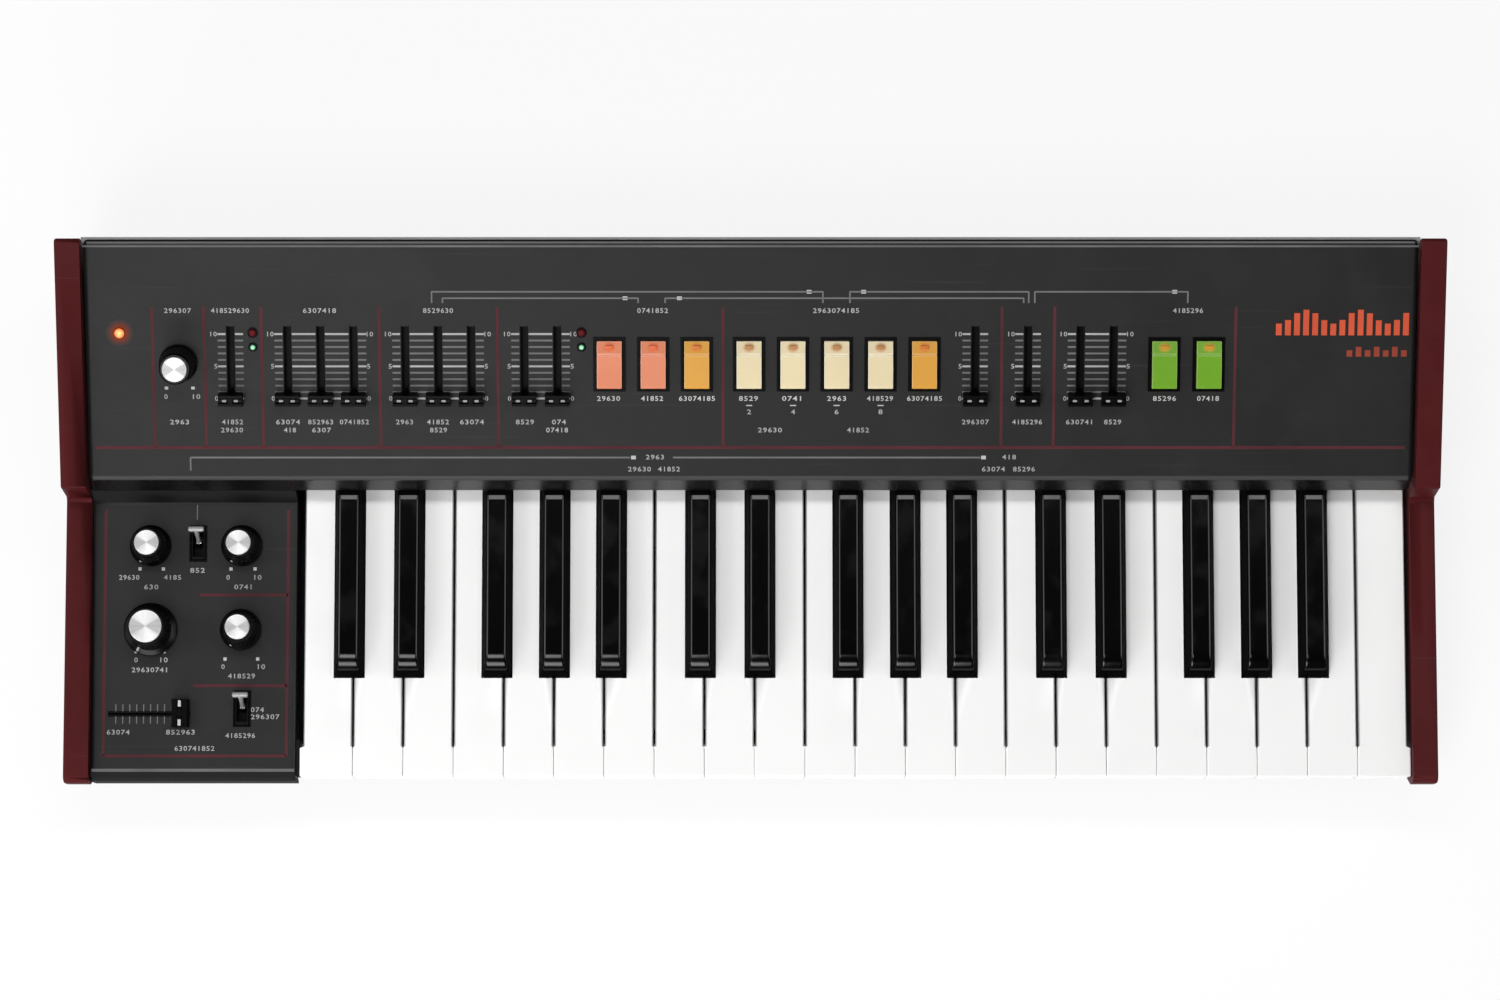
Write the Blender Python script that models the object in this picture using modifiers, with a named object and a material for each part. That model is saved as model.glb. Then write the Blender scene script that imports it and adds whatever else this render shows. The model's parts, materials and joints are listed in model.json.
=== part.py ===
"""Analog synthesizer: a keyboard and a sloped control panel between two side cheeks.

World axes: +X to the player's right, +Y to the rear, +Z up. The origin is the centre of the
footprint, on the surface that the rubber feet stand on. All values are in metres.
"""

import math

import bmesh
import bpy
from mathutils import Matrix, Vector

MM = 0.001

# Case
CASE_HALF_WIDTH = 320.75 * MM
CASE_FRONT = -123.0 * MM
CASE_BOTTOM = 6.0 * MM
SHEET = 1.5 * MM
GAP = 0.4 * MM

# Side cheeks, seen from the side
CHEEK_THICKNESS = 11.75 * MM
CHEEK_REAR = 122.8 * MM
CHEEK_BOTTOM = 5.5 * MM
CHEEK_LOW_TOP = 56.0 * MM
CHEEK_TOE = (-111.0 * MM, 44.0 * MM)
CHEEK_STEP_Y = 10.7 * MM
CHEEK_STEP_TOP = 77.5 * MM
CHEEK_STEP_LEAN = 2.4 * MM
CHEEK_EDGE = 1.1 * MM
# A counterbore for each side screw: its place as Y and Z, its radius and its depth
CHEEK_SCREWS = ((-98.0 * MM, 30.0 * MM), (2.0 * MM, 34.0 * MM), (103.0 * MM, 44.0 * MM))
SCREW_RECESS = (4.6 * MM, 1.6 * MM)

# Sloped panel
PANEL_FRONT_Y = 15.7 * MM
PANEL_FRONT_Z = 74.0 * MM
PANEL_REAR_Y = 123.0 * MM
PANEL_SLOPE = math.radians(17.84)
PANEL_HALF_WIDTH = 308.2 * MM
PANEL_BEND = 2.5 * MM
PANEL_LIP_DROP = 11.4 * MM
PANEL_REAR_FLANGE = 14.5 * MM
FACE_LEAN = math.radians(20.0)

# Control plate at the left of the keys
PLATE_TOP = 50.5 * MM
PLATE_LEFT = -308.4 * MM
PLATE_RIGHT = -212.9 * MM
PLATE_FRONT = -121.8 * MM
PLATE_SKIRT_BOTTOM = 34.0 * MM
PLATE_FRONT_BOTTOM = 30.0 * MM
PLATE_BEND = 2.0 * MM

# Bottom pan
PAN_HALF_WIDTH = 306.2 * MM
PAN_KEY_FRONT = -105.0 * MM
PAN_BOX_FRONT = -112.0 * MM
PAN_BOX_RIGHT = -213.2 * MM
PAN_REAR = 119.5 * MM
PAN_FRONT_HEIGHT = 25.0 * MM
PAN_REAR_HEIGHT = 102.0 * MM

# Keys
OCTAVE_WHITES = 7
WHITE_COUNT = 22
WHITE_PITCH = 23.5 * MM
WHITE_GAP = 1.0 * MM
KEYS_LEFT = -209.1 * MM
KEY_TOP = 50.0 * MM
KEY_FRONT = -121.7 * MM
KEY_REAR = 76.0 * MM
KEY_UNDERSIDE = 36.0 * MM
KEY_LIP_BOTTOM = 30.0 * MM
KEY_LIP_DEPTH = 3.0 * MM
KEY_EDGE = 0.6 * MM
FRAME_FLOOR = 3.0 * MM
FRONT_RAIL = (-98.0 * MM, -88.0 * MM)
CONTACT_RAIL = (-12.0 * MM, 6.0 * MM)
CONTACT_RAIL_TOP = 28.0 * MM
PIVOT_RAIL = (63.0 * MM, 77.5 * MM)
BACK_STOP_REAR = 81.0 * MM
PIVOT_Y = 70.0 * MM
PIVOT_Z = 44.0 * MM
# Each black key sits over a gap between two white keys, a little to one side of it
BLACK_OFFSETS = {0: -1.9 * MM, 1: 2.5 * MM, 3: -3.2 * MM, 4: 0.2 * MM, 5: 3.3 * MM}
BLACK_BASE_WIDTH = 13.4 * MM
BLACK_CAP_WIDTH = 9.4 * MM
BLACK_FRONT = -75.0 * MM
BLACK_CAP_REAR = 22.0 * MM
BLACK_CAP_SET_BACK = 8.6 * MM
BLACK_SHOULDER = 51.2 * MM
BLACK_TOP = 61.5 * MM
BLACK_UNDERSIDE = 38.0 * MM
BLACK_CLEARANCE = 0.6 * MM
BLACK_ROUNDING = 1.7 * MM

# Sliders on the panel, in the panel's own frame: X, and distance up the slope
SLIDER_SPACING = 15.3 * MM
SLIDER_GROUPS = (
    (-240.8 * MM, 1),
    (-214.5 * MM, 3),
    (-160.0 * MM, 3),
    (-104.9 * MM, 2),
    (104.0 * MM, 1),
    (128.4 * MM, 1),
    (152.7 * MM, 2),
)
SLIDER_REST = 38.0 * MM
SLOT_BOTTOM = 34.6 * MM
SLOT_TOP = 71.8 * MM
SLOT_HALF_WIDTH = 1.4 * MM
CAP_WIDTH = 11.2 * MM
CAP_LENGTH = 6.4 * MM
CAP_HEIGHT = 8.0 * MM
CAP_LIFT = 1.6 * MM
STEM_THICKNESS = 1.4 * MM
STEM_HALF_LENGTH = 2.0 * MM
STEM_TOP = 2.6 * MM

# The carriers under the panel that hold a group of caps or buttons together
CARRIER_HIGH = -3.9 * MM
CARRIER_LOW = -5.0 * MM
CARRIER_WIDTH = 3.0 * MM
CARRIER_DROP = -19.0 * MM

# Tab buttons on the panel
BUTTON_WIDTH = 12.3 * MM
BUTTON_LENGTH = 23.0 * MM
BUTTON_CENTRE = 54.0 * MM
BUTTON_CLEARANCE = 0.4 * MM
BUTTON_FRONT_RISE = 3.0 * MM
BUTTON_RISE = 3.8 * MM
BUTTON_REAR_RISE = 1.6 * MM
BUTTON_GROOVE = 6.4 * MM
BUTTON_GROOVE_WIDTH = 0.7 * MM
BUTTON_GROOVE_DEPTH = 0.5 * MM
BUTTON_COLUMNS = {
    "salmon_buttons": (-65.4 * MM, -45.1 * MM),
    "orange_buttons": (-24.9 * MM, 80.5 * MM),
    "cream_buttons": (-0.7 * MM, 19.6 * MM, 39.9 * MM, 60.2 * MM),
    "green_buttons": (191.6 * MM, 212.2 * MM),
}

# Indicator lamps on the panel: X, distance up the slope, radius
LAMPS = (
    (-292.0 * MM, 68.7 * MM, 2.4 * MM),
    (-230.4 * MM, 68.9 * MM, 1.5 * MM),
    (-230.4 * MM, 62.1 * MM, 1.5 * MM),
    (-78.3 * MM, 68.9 * MM, 1.5 * MM),
    (-78.3 * MM, 62.1 * MM, 1.5 * MM),
)

# Knobs: on the panel as X and distance up the slope, on the plate as X and Y
KNOB_HEIGHT = 18.0 * MM
KNOB_SKIRT = 9.7 * MM
KNOB_CAP = 5.8 * MM
LARGE_KNOB_HEIGHT = 22.0 * MM
LARGE_KNOB_SKIRT = 12.5 * MM
LARGE_KNOB_CAP = 7.6 * MM
SHAFT_RADIUS = 3.0 * MM
SHAFT_HOLE = 3.5 * MM
PHONES_KNOB = (-265.0 * MM, 54.6 * MM)
TIME_KNOB = (-281.6 * MM, -13.5 * MM)
TUNE_KNOB = (-238.8 * MM, -13.5 * MM)
PITCH_KNOB = (-281.1 * MM, -53.0 * MM)
VOLUME_KNOB = (-238.9 * MM, -53.0 * MM)

# Toggle levers and the pitch slider on the plate: X and Y
GLIDE_TOGGLE = (-259.4 * MM, -12.4 * MM)
HOLD_TOGGLE = (-238.0 * MM, -90.0 * MM)
TOGGLE_WINDOW = (6.8 * MM, 15.6 * MM)
TOGGLE_PIVOT_Z = 45.0 * MM
TOGGLE_LENGTH = 16.0 * MM
TOGGLE_FOOT_WIDTH = 2.4 * MM
TOGGLE_FOOT_THICKNESS = 2.0 * MM
TOGGLE_TIP_WIDTH = 7.6 * MM
TOGGLE_LEAN = math.radians(20.5)
PITCH_SLIDER = (-266.6 * MM, -92.4 * MM)
PITCH_SLOT_LEFT = -300.8 * MM
PITCH_SLOT_RIGHT = -262.2 * MM
PITCH_CAP = (8.4 * MM, 13.1 * MM, 7.0 * MM)

# Boards, hung under the panel and under the plate, and how far the parts on them sink in
BOARD = 1.6 * MM
PART_SINK = 0.6 * MM
PANEL_BOARD_DEPTH = 12.4 * MM
PANEL_BOARD_HALF_WIDTH = 296.0 * MM
PANEL_BOARD_SPAN = (6.0 * MM, 100.0 * MM)
PART_TOP = 5.0 * MM
SLIDER_PART = (4.0 * MM, 31.0 * MM, 75.0 * MM)
SWITCH_HALF = 3.0 * MM
SWITCH_DROP = 2.5 * MM
KNOB_PART_HALF = 8.0 * MM
LAMP_RISE = 1.0 * MM
POST_RADIUS = 2.5 * MM
PANEL_POST_XS = [x * MM for x in (-280, -140, 0, 140, 280)]
PANEL_POST_ROWS = (11.0 * MM, 92.0 * MM)
PLATE_BOARD_TOP = 36.0 * MM
PLATE_BOARD_SPAN = (-107.0 * MM, 2.0 * MM)
PLATE_BOARD_INSET = 4.0 * MM
PLATE_PART_TOP = 44.0 * MM
PLATE_KNOB_PART_HALF = 7.0 * MM
PLATE_POSTS = [(x * MM, y * MM) for x, y in ((-298, -33), (-222, -33), (-298, -101), (-222, -101))]
TOGGLE_SLOT = (2.6 * MM, 6.2 * MM, 2.5 * MM)
LINK_WIDTH = 40.0 * MM

# Rear sockets: five plug sockets, three round data sockets, a square data port, a power inlet
SOCKET_Z = 38.0 * MM
SOCKET_FACE = 121.9 * MM
SOCKET_DEPTH = 20.0 * MM
JACK_XS = [(-250.0 + 28.0 * i) * MM for i in range(5)]
JACK_BODY = (7.0 * MM, 8.0 * MM)
JACK_BUSH = 4.6 * MM
JACK_NUT = 7.0 * MM
JACK_BORE = 3.3 * MM
ROUND_XS = [(-72.0 + 27.0 * i) * MM for i in range(3)]
ROUND_BODY = (10.0 * MM, 10.0 * MM)
ROUND_FACE = 7.6 * MM
PORT_X = 16.0 * MM
PORT_BODY = (7.0 * MM, 7.0 * MM)
PORT_SHELL = (6.0 * MM, 5.5 * MM)
PORT_RECESS = (4.2 * MM, 3.9 * MM)
PORT_TONGUE = (2.8 * MM, 1.5 * MM)
POWER_X = 52.0 * MM
POWER_BODY = (7.0 * MM, 8.0 * MM)
POWER_FACE = 5.6 * MM
POWER_BORE = 2.9 * MM
POWER_PIN = 1.0 * MM

# Rubber feet: one strip along the front and one along the rear
FOOT_HALF_LENGTH = 285.0 * MM
FOOT_WIDTH = 14.0 * MM
FOOT_FRONT_Y = -86.0 * MM
FOOT_REAR_Y = 100.0 * MM
FOOT_CORNER = 5.0 * MM

SMOOTH_ANGLE = math.radians(35)


# Scene and materials


def clear_scene():
    for item in list(bpy.data.objects):
        bpy.data.objects.remove(item, do_unlink=True)


def new_collection(name):
    collection = bpy.data.collections.new(name)
    bpy.context.scene.collection.children.link(collection)
    return collection


def material(name, colour, roughness, metallic=0.0):
    made = bpy.data.materials.new(name)
    made.use_nodes = True
    shader = made.node_tree.nodes["Principled BSDF"]
    shader.inputs["Base Color"].default_value = (*colour, 1.0)
    shader.inputs["Roughness"].default_value = roughness
    shader.inputs["Metallic"].default_value = metallic
    return made


clear_scene()
SYNTH = new_collection("analog_synthesizer")
CUTTERS = new_collection("cutters")

CHARCOAL_PAINT = material("charcoal_paint", (0.030, 0.031, 0.031), 0.45)
BURGUNDY_PAINT = material("burgundy_paint", (0.075, 0.016, 0.018), 0.40)
BLACK_STEEL = material("black_steel", (0.018, 0.018, 0.019), 0.50)
WHITE_PLASTIC = material("white_plastic", (0.85, 0.85, 0.84), 0.25)
BLACK_PLASTIC = material("black_plastic", (0.008, 0.008, 0.008), 0.22)
KNOB_BLACK = material("knob_black", (0.010, 0.010, 0.010), 0.40)
SALMON_PLASTIC = material("salmon_plastic", (0.82, 0.22, 0.14), 0.35)
ORANGE_PLASTIC = material("orange_plastic", (0.80, 0.34, 0.05), 0.35)
CREAM_PLASTIC = material("cream_plastic", (0.80, 0.68, 0.42), 0.35)
GREEN_PLASTIC = material("green_plastic", (0.16, 0.42, 0.03), 0.35)
SATIN_METAL = material("satin_metal", (0.70, 0.70, 0.68), 0.30, 1.0)
BOARD_GREEN = material("board_green", (0.02, 0.12, 0.05), 0.50)
FRAME_GREY = material("frame_grey", (0.22, 0.22, 0.23), 0.55)
SOCKET_BLACK = material("socket_black", (0.012, 0.012, 0.013), 0.45)
FOOT_RUBBER = material("foot_rubber", (0.015, 0.015, 0.015), 0.85)


# Modelling helpers


def place(name, mesh, finish, location=(0, 0, 0), parent=None, rotation=(0, 0, 0)):
    """Puts a mesh in the object's collection, or with no finish among the cutters."""
    mesh.shade_smooth()
    mesh.set_sharp_from_angle(angle=SMOOTH_ANGLE)
    item = bpy.data.objects.new(name, mesh)
    item.location = location
    item.rotation_euler = rotation
    item.parent = parent
    if finish is None:
        CUTTERS.objects.link(item)
        item.hide_render = True
        item.display_type = "WIRE"
    else:
        SYNTH.objects.link(item)
        mesh.materials.clear()
        mesh.materials.append(finish)
    return item


def mesh_from(name, build):
    """Makes a mesh from a function that fills a bmesh."""
    work = bmesh.new()
    build(work)
    mesh = bpy.data.meshes.new(name)
    work.to_mesh(mesh)
    work.free()
    return mesh


def add_box(work, low, high):
    low = Vector(low)
    high = Vector(high)
    spot = Matrix.Translation((low + high) / 2) @ Matrix.Diagonal((*(high - low), 1))
    return bmesh.ops.create_cube(work, size=1.0, matrix=spot)["verts"]


def add_round(work, centre, radius, length, axis="Z", sides=16):
    """A closed cylinder that starts at centre and runs along +axis."""
    turns = {
        "X": Matrix.Rotation(math.pi / 2, 4, "Y"),
        "Y": Matrix.Rotation(-math.pi / 2, 4, "X"),
        "Z": Matrix.Identity(4),
    }
    spot = Matrix.Translation(centre) @ turns[axis] @ Matrix.Translation((0, 0, length / 2))
    bmesh.ops.create_cone(
        work,
        cap_ends=True,
        segments=sides,
        radius1=radius,
        radius2=radius,
        depth=length,
        matrix=spot,
    )


def around(centre, half):
    """The two corners of a box from its centre and its half sizes."""
    centre = Vector(centre)
    half = Vector(half)
    return centre - half, centre + half


def boxes(name, pairs):
    """Boxes from pairs of corners, all in the one mesh."""

    def build(work):
        for low, high in pairs:
            add_box(work, low, high)

    return mesh_from(name, build)


def rounds(name, items):
    """Cylinders from (centre, radius, length, axis, sides) items."""

    def build(work):
        for centre, radius, length, axis, sides in items:
            add_round(work, centre, radius, length, axis, sides)

    return mesh_from(name, build)


def fillet(points, steps=4):
    """Rounds the corners of a closed outline given as (u, v, radius)."""
    outline = []
    for i, (u, v, radius) in enumerate(points):
        corner = Vector((u, v))
        if radius == 0:
            outline.append(corner)
            continue
        before = (Vector(points[i - 1][:2]) - corner).normalized()
        after = (Vector(points[(i + 1) % len(points)][:2]) - corner).normalized()
        half = before.angle(after) / 2
        centre = corner + (before + after).normalized() * radius / math.sin(half)
        start = corner + before * radius / math.tan(half) - centre
        sweep = start.angle_signed(corner + after * radius / math.tan(half) - centre)
        for step in range(steps + 1):
            turn = Matrix.Rotation(-sweep * step / steps, 2)
            outline.append(centre + turn @ start)
    return outline


def prism(name, outline, width):
    """A filled outline in Y and Z, given its width along X and made a mesh."""
    curve = bpy.data.curves.new(name, "CURVE")
    curve.dimensions = "2D"
    curve.fill_mode = "BOTH"
    curve.extrude = width / 2
    spline = curve.splines.new("POLY")
    spline.points.add(len(outline) - 1)
    for point, (u, v) in zip(spline.points, outline):
        point.co = (u, v, 0, 1)
    spline.use_cyclic_u = True
    drawn = bpy.data.objects.new(name, curve)
    CUTTERS.objects.link(drawn)
    graph = bpy.context.evaluated_depsgraph_get()
    mesh = bpy.data.meshes.new_from_object(drawn.evaluated_get(graph))
    bpy.data.objects.remove(drawn)
    mesh.transform(Matrix(((0, 0, 1, 0), (1, 0, 0, 0), (0, 1, 0, 0), (0, 0, 0, 1))))
    work = bmesh.new()
    work.from_mesh(mesh)
    bmesh.ops.remove_doubles(work, verts=work.verts, dist=0.001 * MM)
    bmesh.ops.dissolve_limit(work, angle_limit=0.01, verts=work.verts, edges=work.edges)
    bmesh.ops.recalc_face_normals(work, faces=work.faces)
    work.to_mesh(mesh)
    work.free()
    return mesh


def soften(mesh, chosen, width, segments=1):
    """Bevels the edges whose two ends the function chosen accepts."""
    work = bmesh.new()
    work.from_mesh(mesh)
    edges = [edge for edge in work.edges if chosen(edge.verts[0].co, edge.verts[1].co)]
    bmesh.ops.bevel(
        work, geom=edges, offset=width, segments=segments, profile=0.5, affect="EDGES"
    )
    work.to_mesh(mesh)
    work.free()
    return mesh


def repeat(mesh, offsets):
    """Puts a copy of the mesh at each offset, all in the one mesh."""
    work = bmesh.new()
    work.from_mesh(mesh)
    first = work.verts[:] + work.edges[:] + work.faces[:]
    for offset in offsets[1:]:
        copy = bmesh.ops.duplicate(work, geom=first)["geom"]
        verts = [item for item in copy if isinstance(item, bmesh.types.BMVert)]
        bmesh.ops.translate(work, vec=Vector(offset) - Vector(offsets[0]), verts=verts)
    bmesh.ops.translate(work, vec=offsets[0], verts=first[: len(mesh.vertices)])
    work.to_mesh(mesh)
    work.free()
    return mesh


def boolean(item, tool, operation="DIFFERENCE"):
    modifier = item.modifiers.new(tool.name, "BOOLEAN")
    modifier.object = tool
    modifier.operation = operation
    modifier.solver = "EXACT"


def cut(item, name, mesh, parent=None, location=(0, 0, 0)):
    boolean(item, place(name, mesh, None, location, parent))


def join(item, name, mesh, parent=None, location=(0, 0, 0)):
    boolean(item, place(name, mesh, None, location, parent), "UNION")


def fold_sheet(item, bend, segments):
    """Rounds the folds of an open surface and gives it the thickness of the sheet."""
    folds = item.modifiers.new("folds", "BEVEL")
    folds.width = bend
    folds.segments = segments
    folds.limit_method = "ANGLE"
    folds.angle_limit = math.radians(30)
    thickness = item.modifiers.new("thickness", "SOLIDIFY")
    thickness.thickness = SHEET
    thickness.offset = -1.0
    thickness.use_even_offset = True


# The panel's frame: X across, Y up the slope, Z out of the panel's outer surface
PANEL = bpy.data.objects.new("panel_frame", None)
PANEL.location = (0, PANEL_FRONT_Y, PANEL_FRONT_Z)
PANEL.rotation_euler = (PANEL_SLOPE, 0, 0)
SYNTH.objects.link(PANEL)


def panel_height(y):
    """Height of the panel's outer surface over the table at a depth y."""
    return PANEL_FRONT_Z + (y - PANEL_FRONT_Y) * math.tan(PANEL_SLOPE)


def face_y(z):
    """Depth of the leaning front face at a height z."""
    return PANEL_FRONT_Y - (PANEL_FRONT_Z - z) * math.tan(FACE_LEAN)


def slider_columns():
    return [x + i * SLIDER_SPACING for x, count in SLIDER_GROUPS for i in range(count)]


# Case


def make_cheeks():
    rear_top = CHEEK_STEP_TOP + (CHEEK_REAR - CHEEK_STEP_Y) * math.tan(PANEL_SLOPE)
    step_y = CHEEK_STEP_Y - CHEEK_STEP_LEAN
    outline = fillet(
        [
            (CHEEK_TOE[0], CHEEK_BOTTOM, 1.5 * MM),
            (CHEEK_REAR, CHEEK_BOTTOM, 1.5 * MM),
            (CHEEK_REAR, rear_top, 2.0 * MM),
            (CHEEK_STEP_Y, CHEEK_STEP_TOP, 1.5 * MM),
            (step_y, CHEEK_LOW_TOP, 2.5 * MM),
            (CASE_FRONT, CHEEK_LOW_TOP, 4.0 * MM),
            (CASE_FRONT, CHEEK_TOE[1], 4.0 * MM),
        ],
        6,
    )
    for name, side in (("left_cheek", -1), ("right_cheek", 1)):
        mesh = prism(name, outline, CHEEK_THICKNESS)
        outer = side * CHEEK_THICKNESS / 2

        def on_outer_rim(a, b, outer=outer):
            return abs(a.x - outer) < 1e-5 and abs(b.x - outer) < 1e-5

        soften(mesh, on_outer_rim, CHEEK_EDGE, 3)
        spot = (side * (CASE_HALF_WIDTH - CHEEK_THICKNESS / 2), 0, 0)
        cheek = place(name, mesh, BURGUNDY_PAINT, spot)
        radius, depth = SCREW_RECESS
        start = CASE_HALF_WIDTH - depth if side > 0 else -CASE_HALF_WIDTH - depth
        recesses = [((start, y, z), radius, 2 * depth, "X", 24) for y, z in CHEEK_SCREWS]
        cut(cheek, f"{name}_screw_recesses", rounds(f"{name}_screw_recesses", recesses))


def make_bottom_pan():
    plan = [
        (-PAN_HALF_WIDTH, PAN_BOX_FRONT),
        (PAN_BOX_RIGHT, PAN_BOX_FRONT),
        (PAN_BOX_RIGHT, PAN_KEY_FRONT),
        (PAN_HALF_WIDTH, PAN_KEY_FRONT),
        (PAN_HALF_WIDTH, PAN_REAR),
        (-PAN_HALF_WIDTH, PAN_REAR),
    ]
    height = PAN_REAR_HEIGHT - CASE_BOTTOM

    def upright(mesh, middle_z):
        """Turns a prism that was drawn in plan so that its width is its height."""
        turn = Matrix(((0, 1, 0, 0), (0, 0, 1, 0), (1, 0, 0, 0), (0, 0, 0, 1)))
        mesh.transform(Matrix.Translation((0, 0, middle_z)) @ turn)
        return mesh

    mesh = upright(prism("bottom_pan", plan, height), CASE_BOTTOM + height / 2)
    pan = place("bottom_pan", mesh, BLACK_STEEL)
    inner = [
        (-PAN_HALF_WIDTH + SHEET, PAN_BOX_FRONT + SHEET),
        (PAN_BOX_RIGHT - SHEET, PAN_BOX_FRONT + SHEET),
        (PAN_BOX_RIGHT - SHEET, PAN_KEY_FRONT + SHEET),
        (PAN_HALF_WIDTH - SHEET, PAN_KEY_FRONT + SHEET),
        (PAN_HALF_WIDTH - SHEET, PAN_REAR - SHEET),
        (-PAN_HALF_WIDTH + SHEET, PAN_REAR - SHEET),
    ]
    hollow = upright(prism("pan_hollow", inner, height), CASE_BOTTOM + SHEET + height / 2)
    cut(pan, "pan_hollow", hollow)
    over = 10 * MM
    walls = [
        (PAN_BOX_FRONT - over, PAN_FRONT_HEIGHT),
        (PIVOT_Y, PAN_FRONT_HEIGHT),
        (PAN_REAR - 4 * MM, PAN_REAR_HEIGHT - 1 * MM),
        (PAN_REAR + over, PAN_REAR_HEIGHT - 1 * MM),
        (PAN_REAR + over, PAN_REAR_HEIGHT + over),
        (PAN_BOX_FRONT - over, PAN_REAR_HEIGHT + over),
    ]
    cut(pan, "pan_wall_trim", prism("pan_wall_trim", walls, 2 * CASE_HALF_WIDTH))
    through = SHEET + 4 * MM
    start = PAN_REAR - through / 2
    holes = [((x, start, SOCKET_Z), JACK_BUSH + GAP, through, "Y", 16) for x in JACK_XS]
    holes += [((x, start, SOCKET_Z), ROUND_FACE + GAP, through, "Y", 20) for x in ROUND_XS]
    holes += [((POWER_X, start, SOCKET_Z), POWER_FACE + GAP, through, "Y", 16)]
    cut(pan, "pan_holes", rounds("pan_holes", holes))
    window = (PORT_SHELL[0] + GAP, through, PORT_SHELL[1] + GAP)
    window = boxes("port_window", [around((PORT_X, PAN_REAR, SOCKET_Z), window)])
    cut(pan, "port_window", window)


def make_top_panel():
    """A folded sheet: the slope, its leaning front lip, a rear flange and two side flanges."""
    lip_z = PANEL_FRONT_Z - PANEL_LIP_DROP
    rear_z = panel_height(PANEL_REAR_Y)
    corners = {
        (-1, 1): (PANEL_FRONT_Y, PANEL_FRONT_Z),
        (-1, -1): (face_y(lip_z), lip_z),
        (1, 1): (PANEL_REAR_Y, rear_z),
        (1, -1): (PANEL_REAR_Y, rear_z - PANEL_REAR_FLANGE),
    }

    def build(work):
        for vert in bmesh.ops.create_cube(work, size=2.0)["verts"]:
            y, z = corners[round(vert.co.y), round(vert.co.z)]
            vert.co = (vert.co.x * PANEL_HALF_WIDTH, y, z)
        under = min(work.faces, key=lambda face: face.normal.z)
        bmesh.ops.delete(work, geom=[under], context="FACES_ONLY")

    panel = place("top_panel", mesh_from("top_panel", build), CHARCOAL_PAINT)
    fold_sheet(panel, PANEL_BEND, 5)
    deep = 6 * MM
    slot_middle = (SLOT_BOTTOM + SLOT_TOP) / 2
    slot_half = (SLOT_HALF_WIDTH, SLOT_TOP - slot_middle, deep)
    windows = [around((x, slot_middle, 0), slot_half) for x in slider_columns()]
    button_half = (
        BUTTON_WIDTH / 2 + BUTTON_CLEARANCE,
        BUTTON_LENGTH / 2 + BUTTON_CLEARANCE,
        deep,
    )
    for columns in BUTTON_COLUMNS.values():
        windows += [around((x, BUTTON_CENTRE, 0), button_half) for x in columns]
    cut(panel, "panel_windows", boxes("panel_windows", windows), PANEL)
    holes = [((x, s, -deep), radius + 0.35 * MM, 2 * deep, "Z", 16) for x, s, radius in LAMPS]
    holes.append(((*PHONES_KNOB, -deep), SHAFT_HOLE, 2 * deep, "Z", 20))
    cut(panel, "panel_holes", rounds("panel_holes", holes), PANEL)


def make_control_plate():
    """A folded sheet: the plate, its tall front, two skirts and a leaning rear upstand."""
    rear_y = face_y(PLATE_TOP)
    middle_x = (PLATE_LEFT + PLATE_RIGHT) / 2
    middle_y = (PLATE_FRONT + rear_y) / 2
    middle_z = (PLATE_TOP + PLATE_SKIRT_BOTTOM) / 2
    upstand_z = PANEL_FRONT_Z - PANEL_LIP_DROP - GAP
    half = Vector((PLATE_RIGHT - middle_x, rear_y - middle_y, PLATE_TOP - middle_z))

    def build(work):
        spot = Matrix.Translation((middle_x, middle_y, middle_z)) @ Matrix.Diagonal((*half, 1))
        bmesh.ops.create_cube(work, size=2.0, matrix=spot)
        under = min(work.faces, key=lambda face: face.normal.z)
        behind = max(work.faces, key=lambda face: face.normal.y)
        bmesh.ops.delete(work, geom=[under, behind], context="FACES_ONLY")
        folds = [
            (lambda v: v.co.y < middle_y and v.co.z < middle_z, PLATE_FRONT, PLATE_FRONT_BOTTOM),
            (lambda v: v.co.y > middle_y and v.co.z > middle_z, face_y(upstand_z), upstand_z),
        ]
        for chosen, y, z in folds:
            edge = [e for e in work.edges if chosen(e.verts[0]) and chosen(e.verts[1])]
            grown = bmesh.ops.extrude_edge_only(work, edges=edge)["geom"]
            for vert in (item for item in grown if isinstance(item, bmesh.types.BMVert)):
                vert.co.y = y
                vert.co.z = z
        bmesh.ops.recalc_face_normals(work, faces=work.faces)
        top = max(work.faces, key=lambda face: abs(face.normal.z) * face.calc_area())
        if top.normal.z < 0:
            bmesh.ops.reverse_faces(work, faces=work.faces)

    plate = place("control_plate", mesh_from("control_plate", build), CHARCOAL_PAINT)
    fold_sheet(plate, PLATE_BEND, 3)
    low = PLATE_TOP - 6 * MM
    high = PLATE_TOP + 6 * MM
    toggle_half = (TOGGLE_WINDOW[0] / 2, TOGGLE_WINDOW[1] / 2, 6 * MM)
    windows = [around((*spot, PLATE_TOP), toggle_half) for spot in (GLIDE_TOGGLE, HOLD_TOGGLE)]
    slot_y = PITCH_SLIDER[1]
    windows.append(
        (
            (PITCH_SLOT_LEFT, slot_y - SLOT_HALF_WIDTH, low),
            (PITCH_SLOT_RIGHT, slot_y + SLOT_HALF_WIDTH, high),
        )
    )
    cut(plate, "plate_windows", boxes("plate_windows", windows))
    holes = [
        ((*spot, low), SHAFT_HOLE, high - low, "Z", 20)
        for spot in (TIME_KNOB, TUNE_KNOB, PITCH_KNOB, VOLUME_KNOB)
    ]
    cut(plate, "plate_holes", rounds("plate_holes", holes))


# Keyboard


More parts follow.
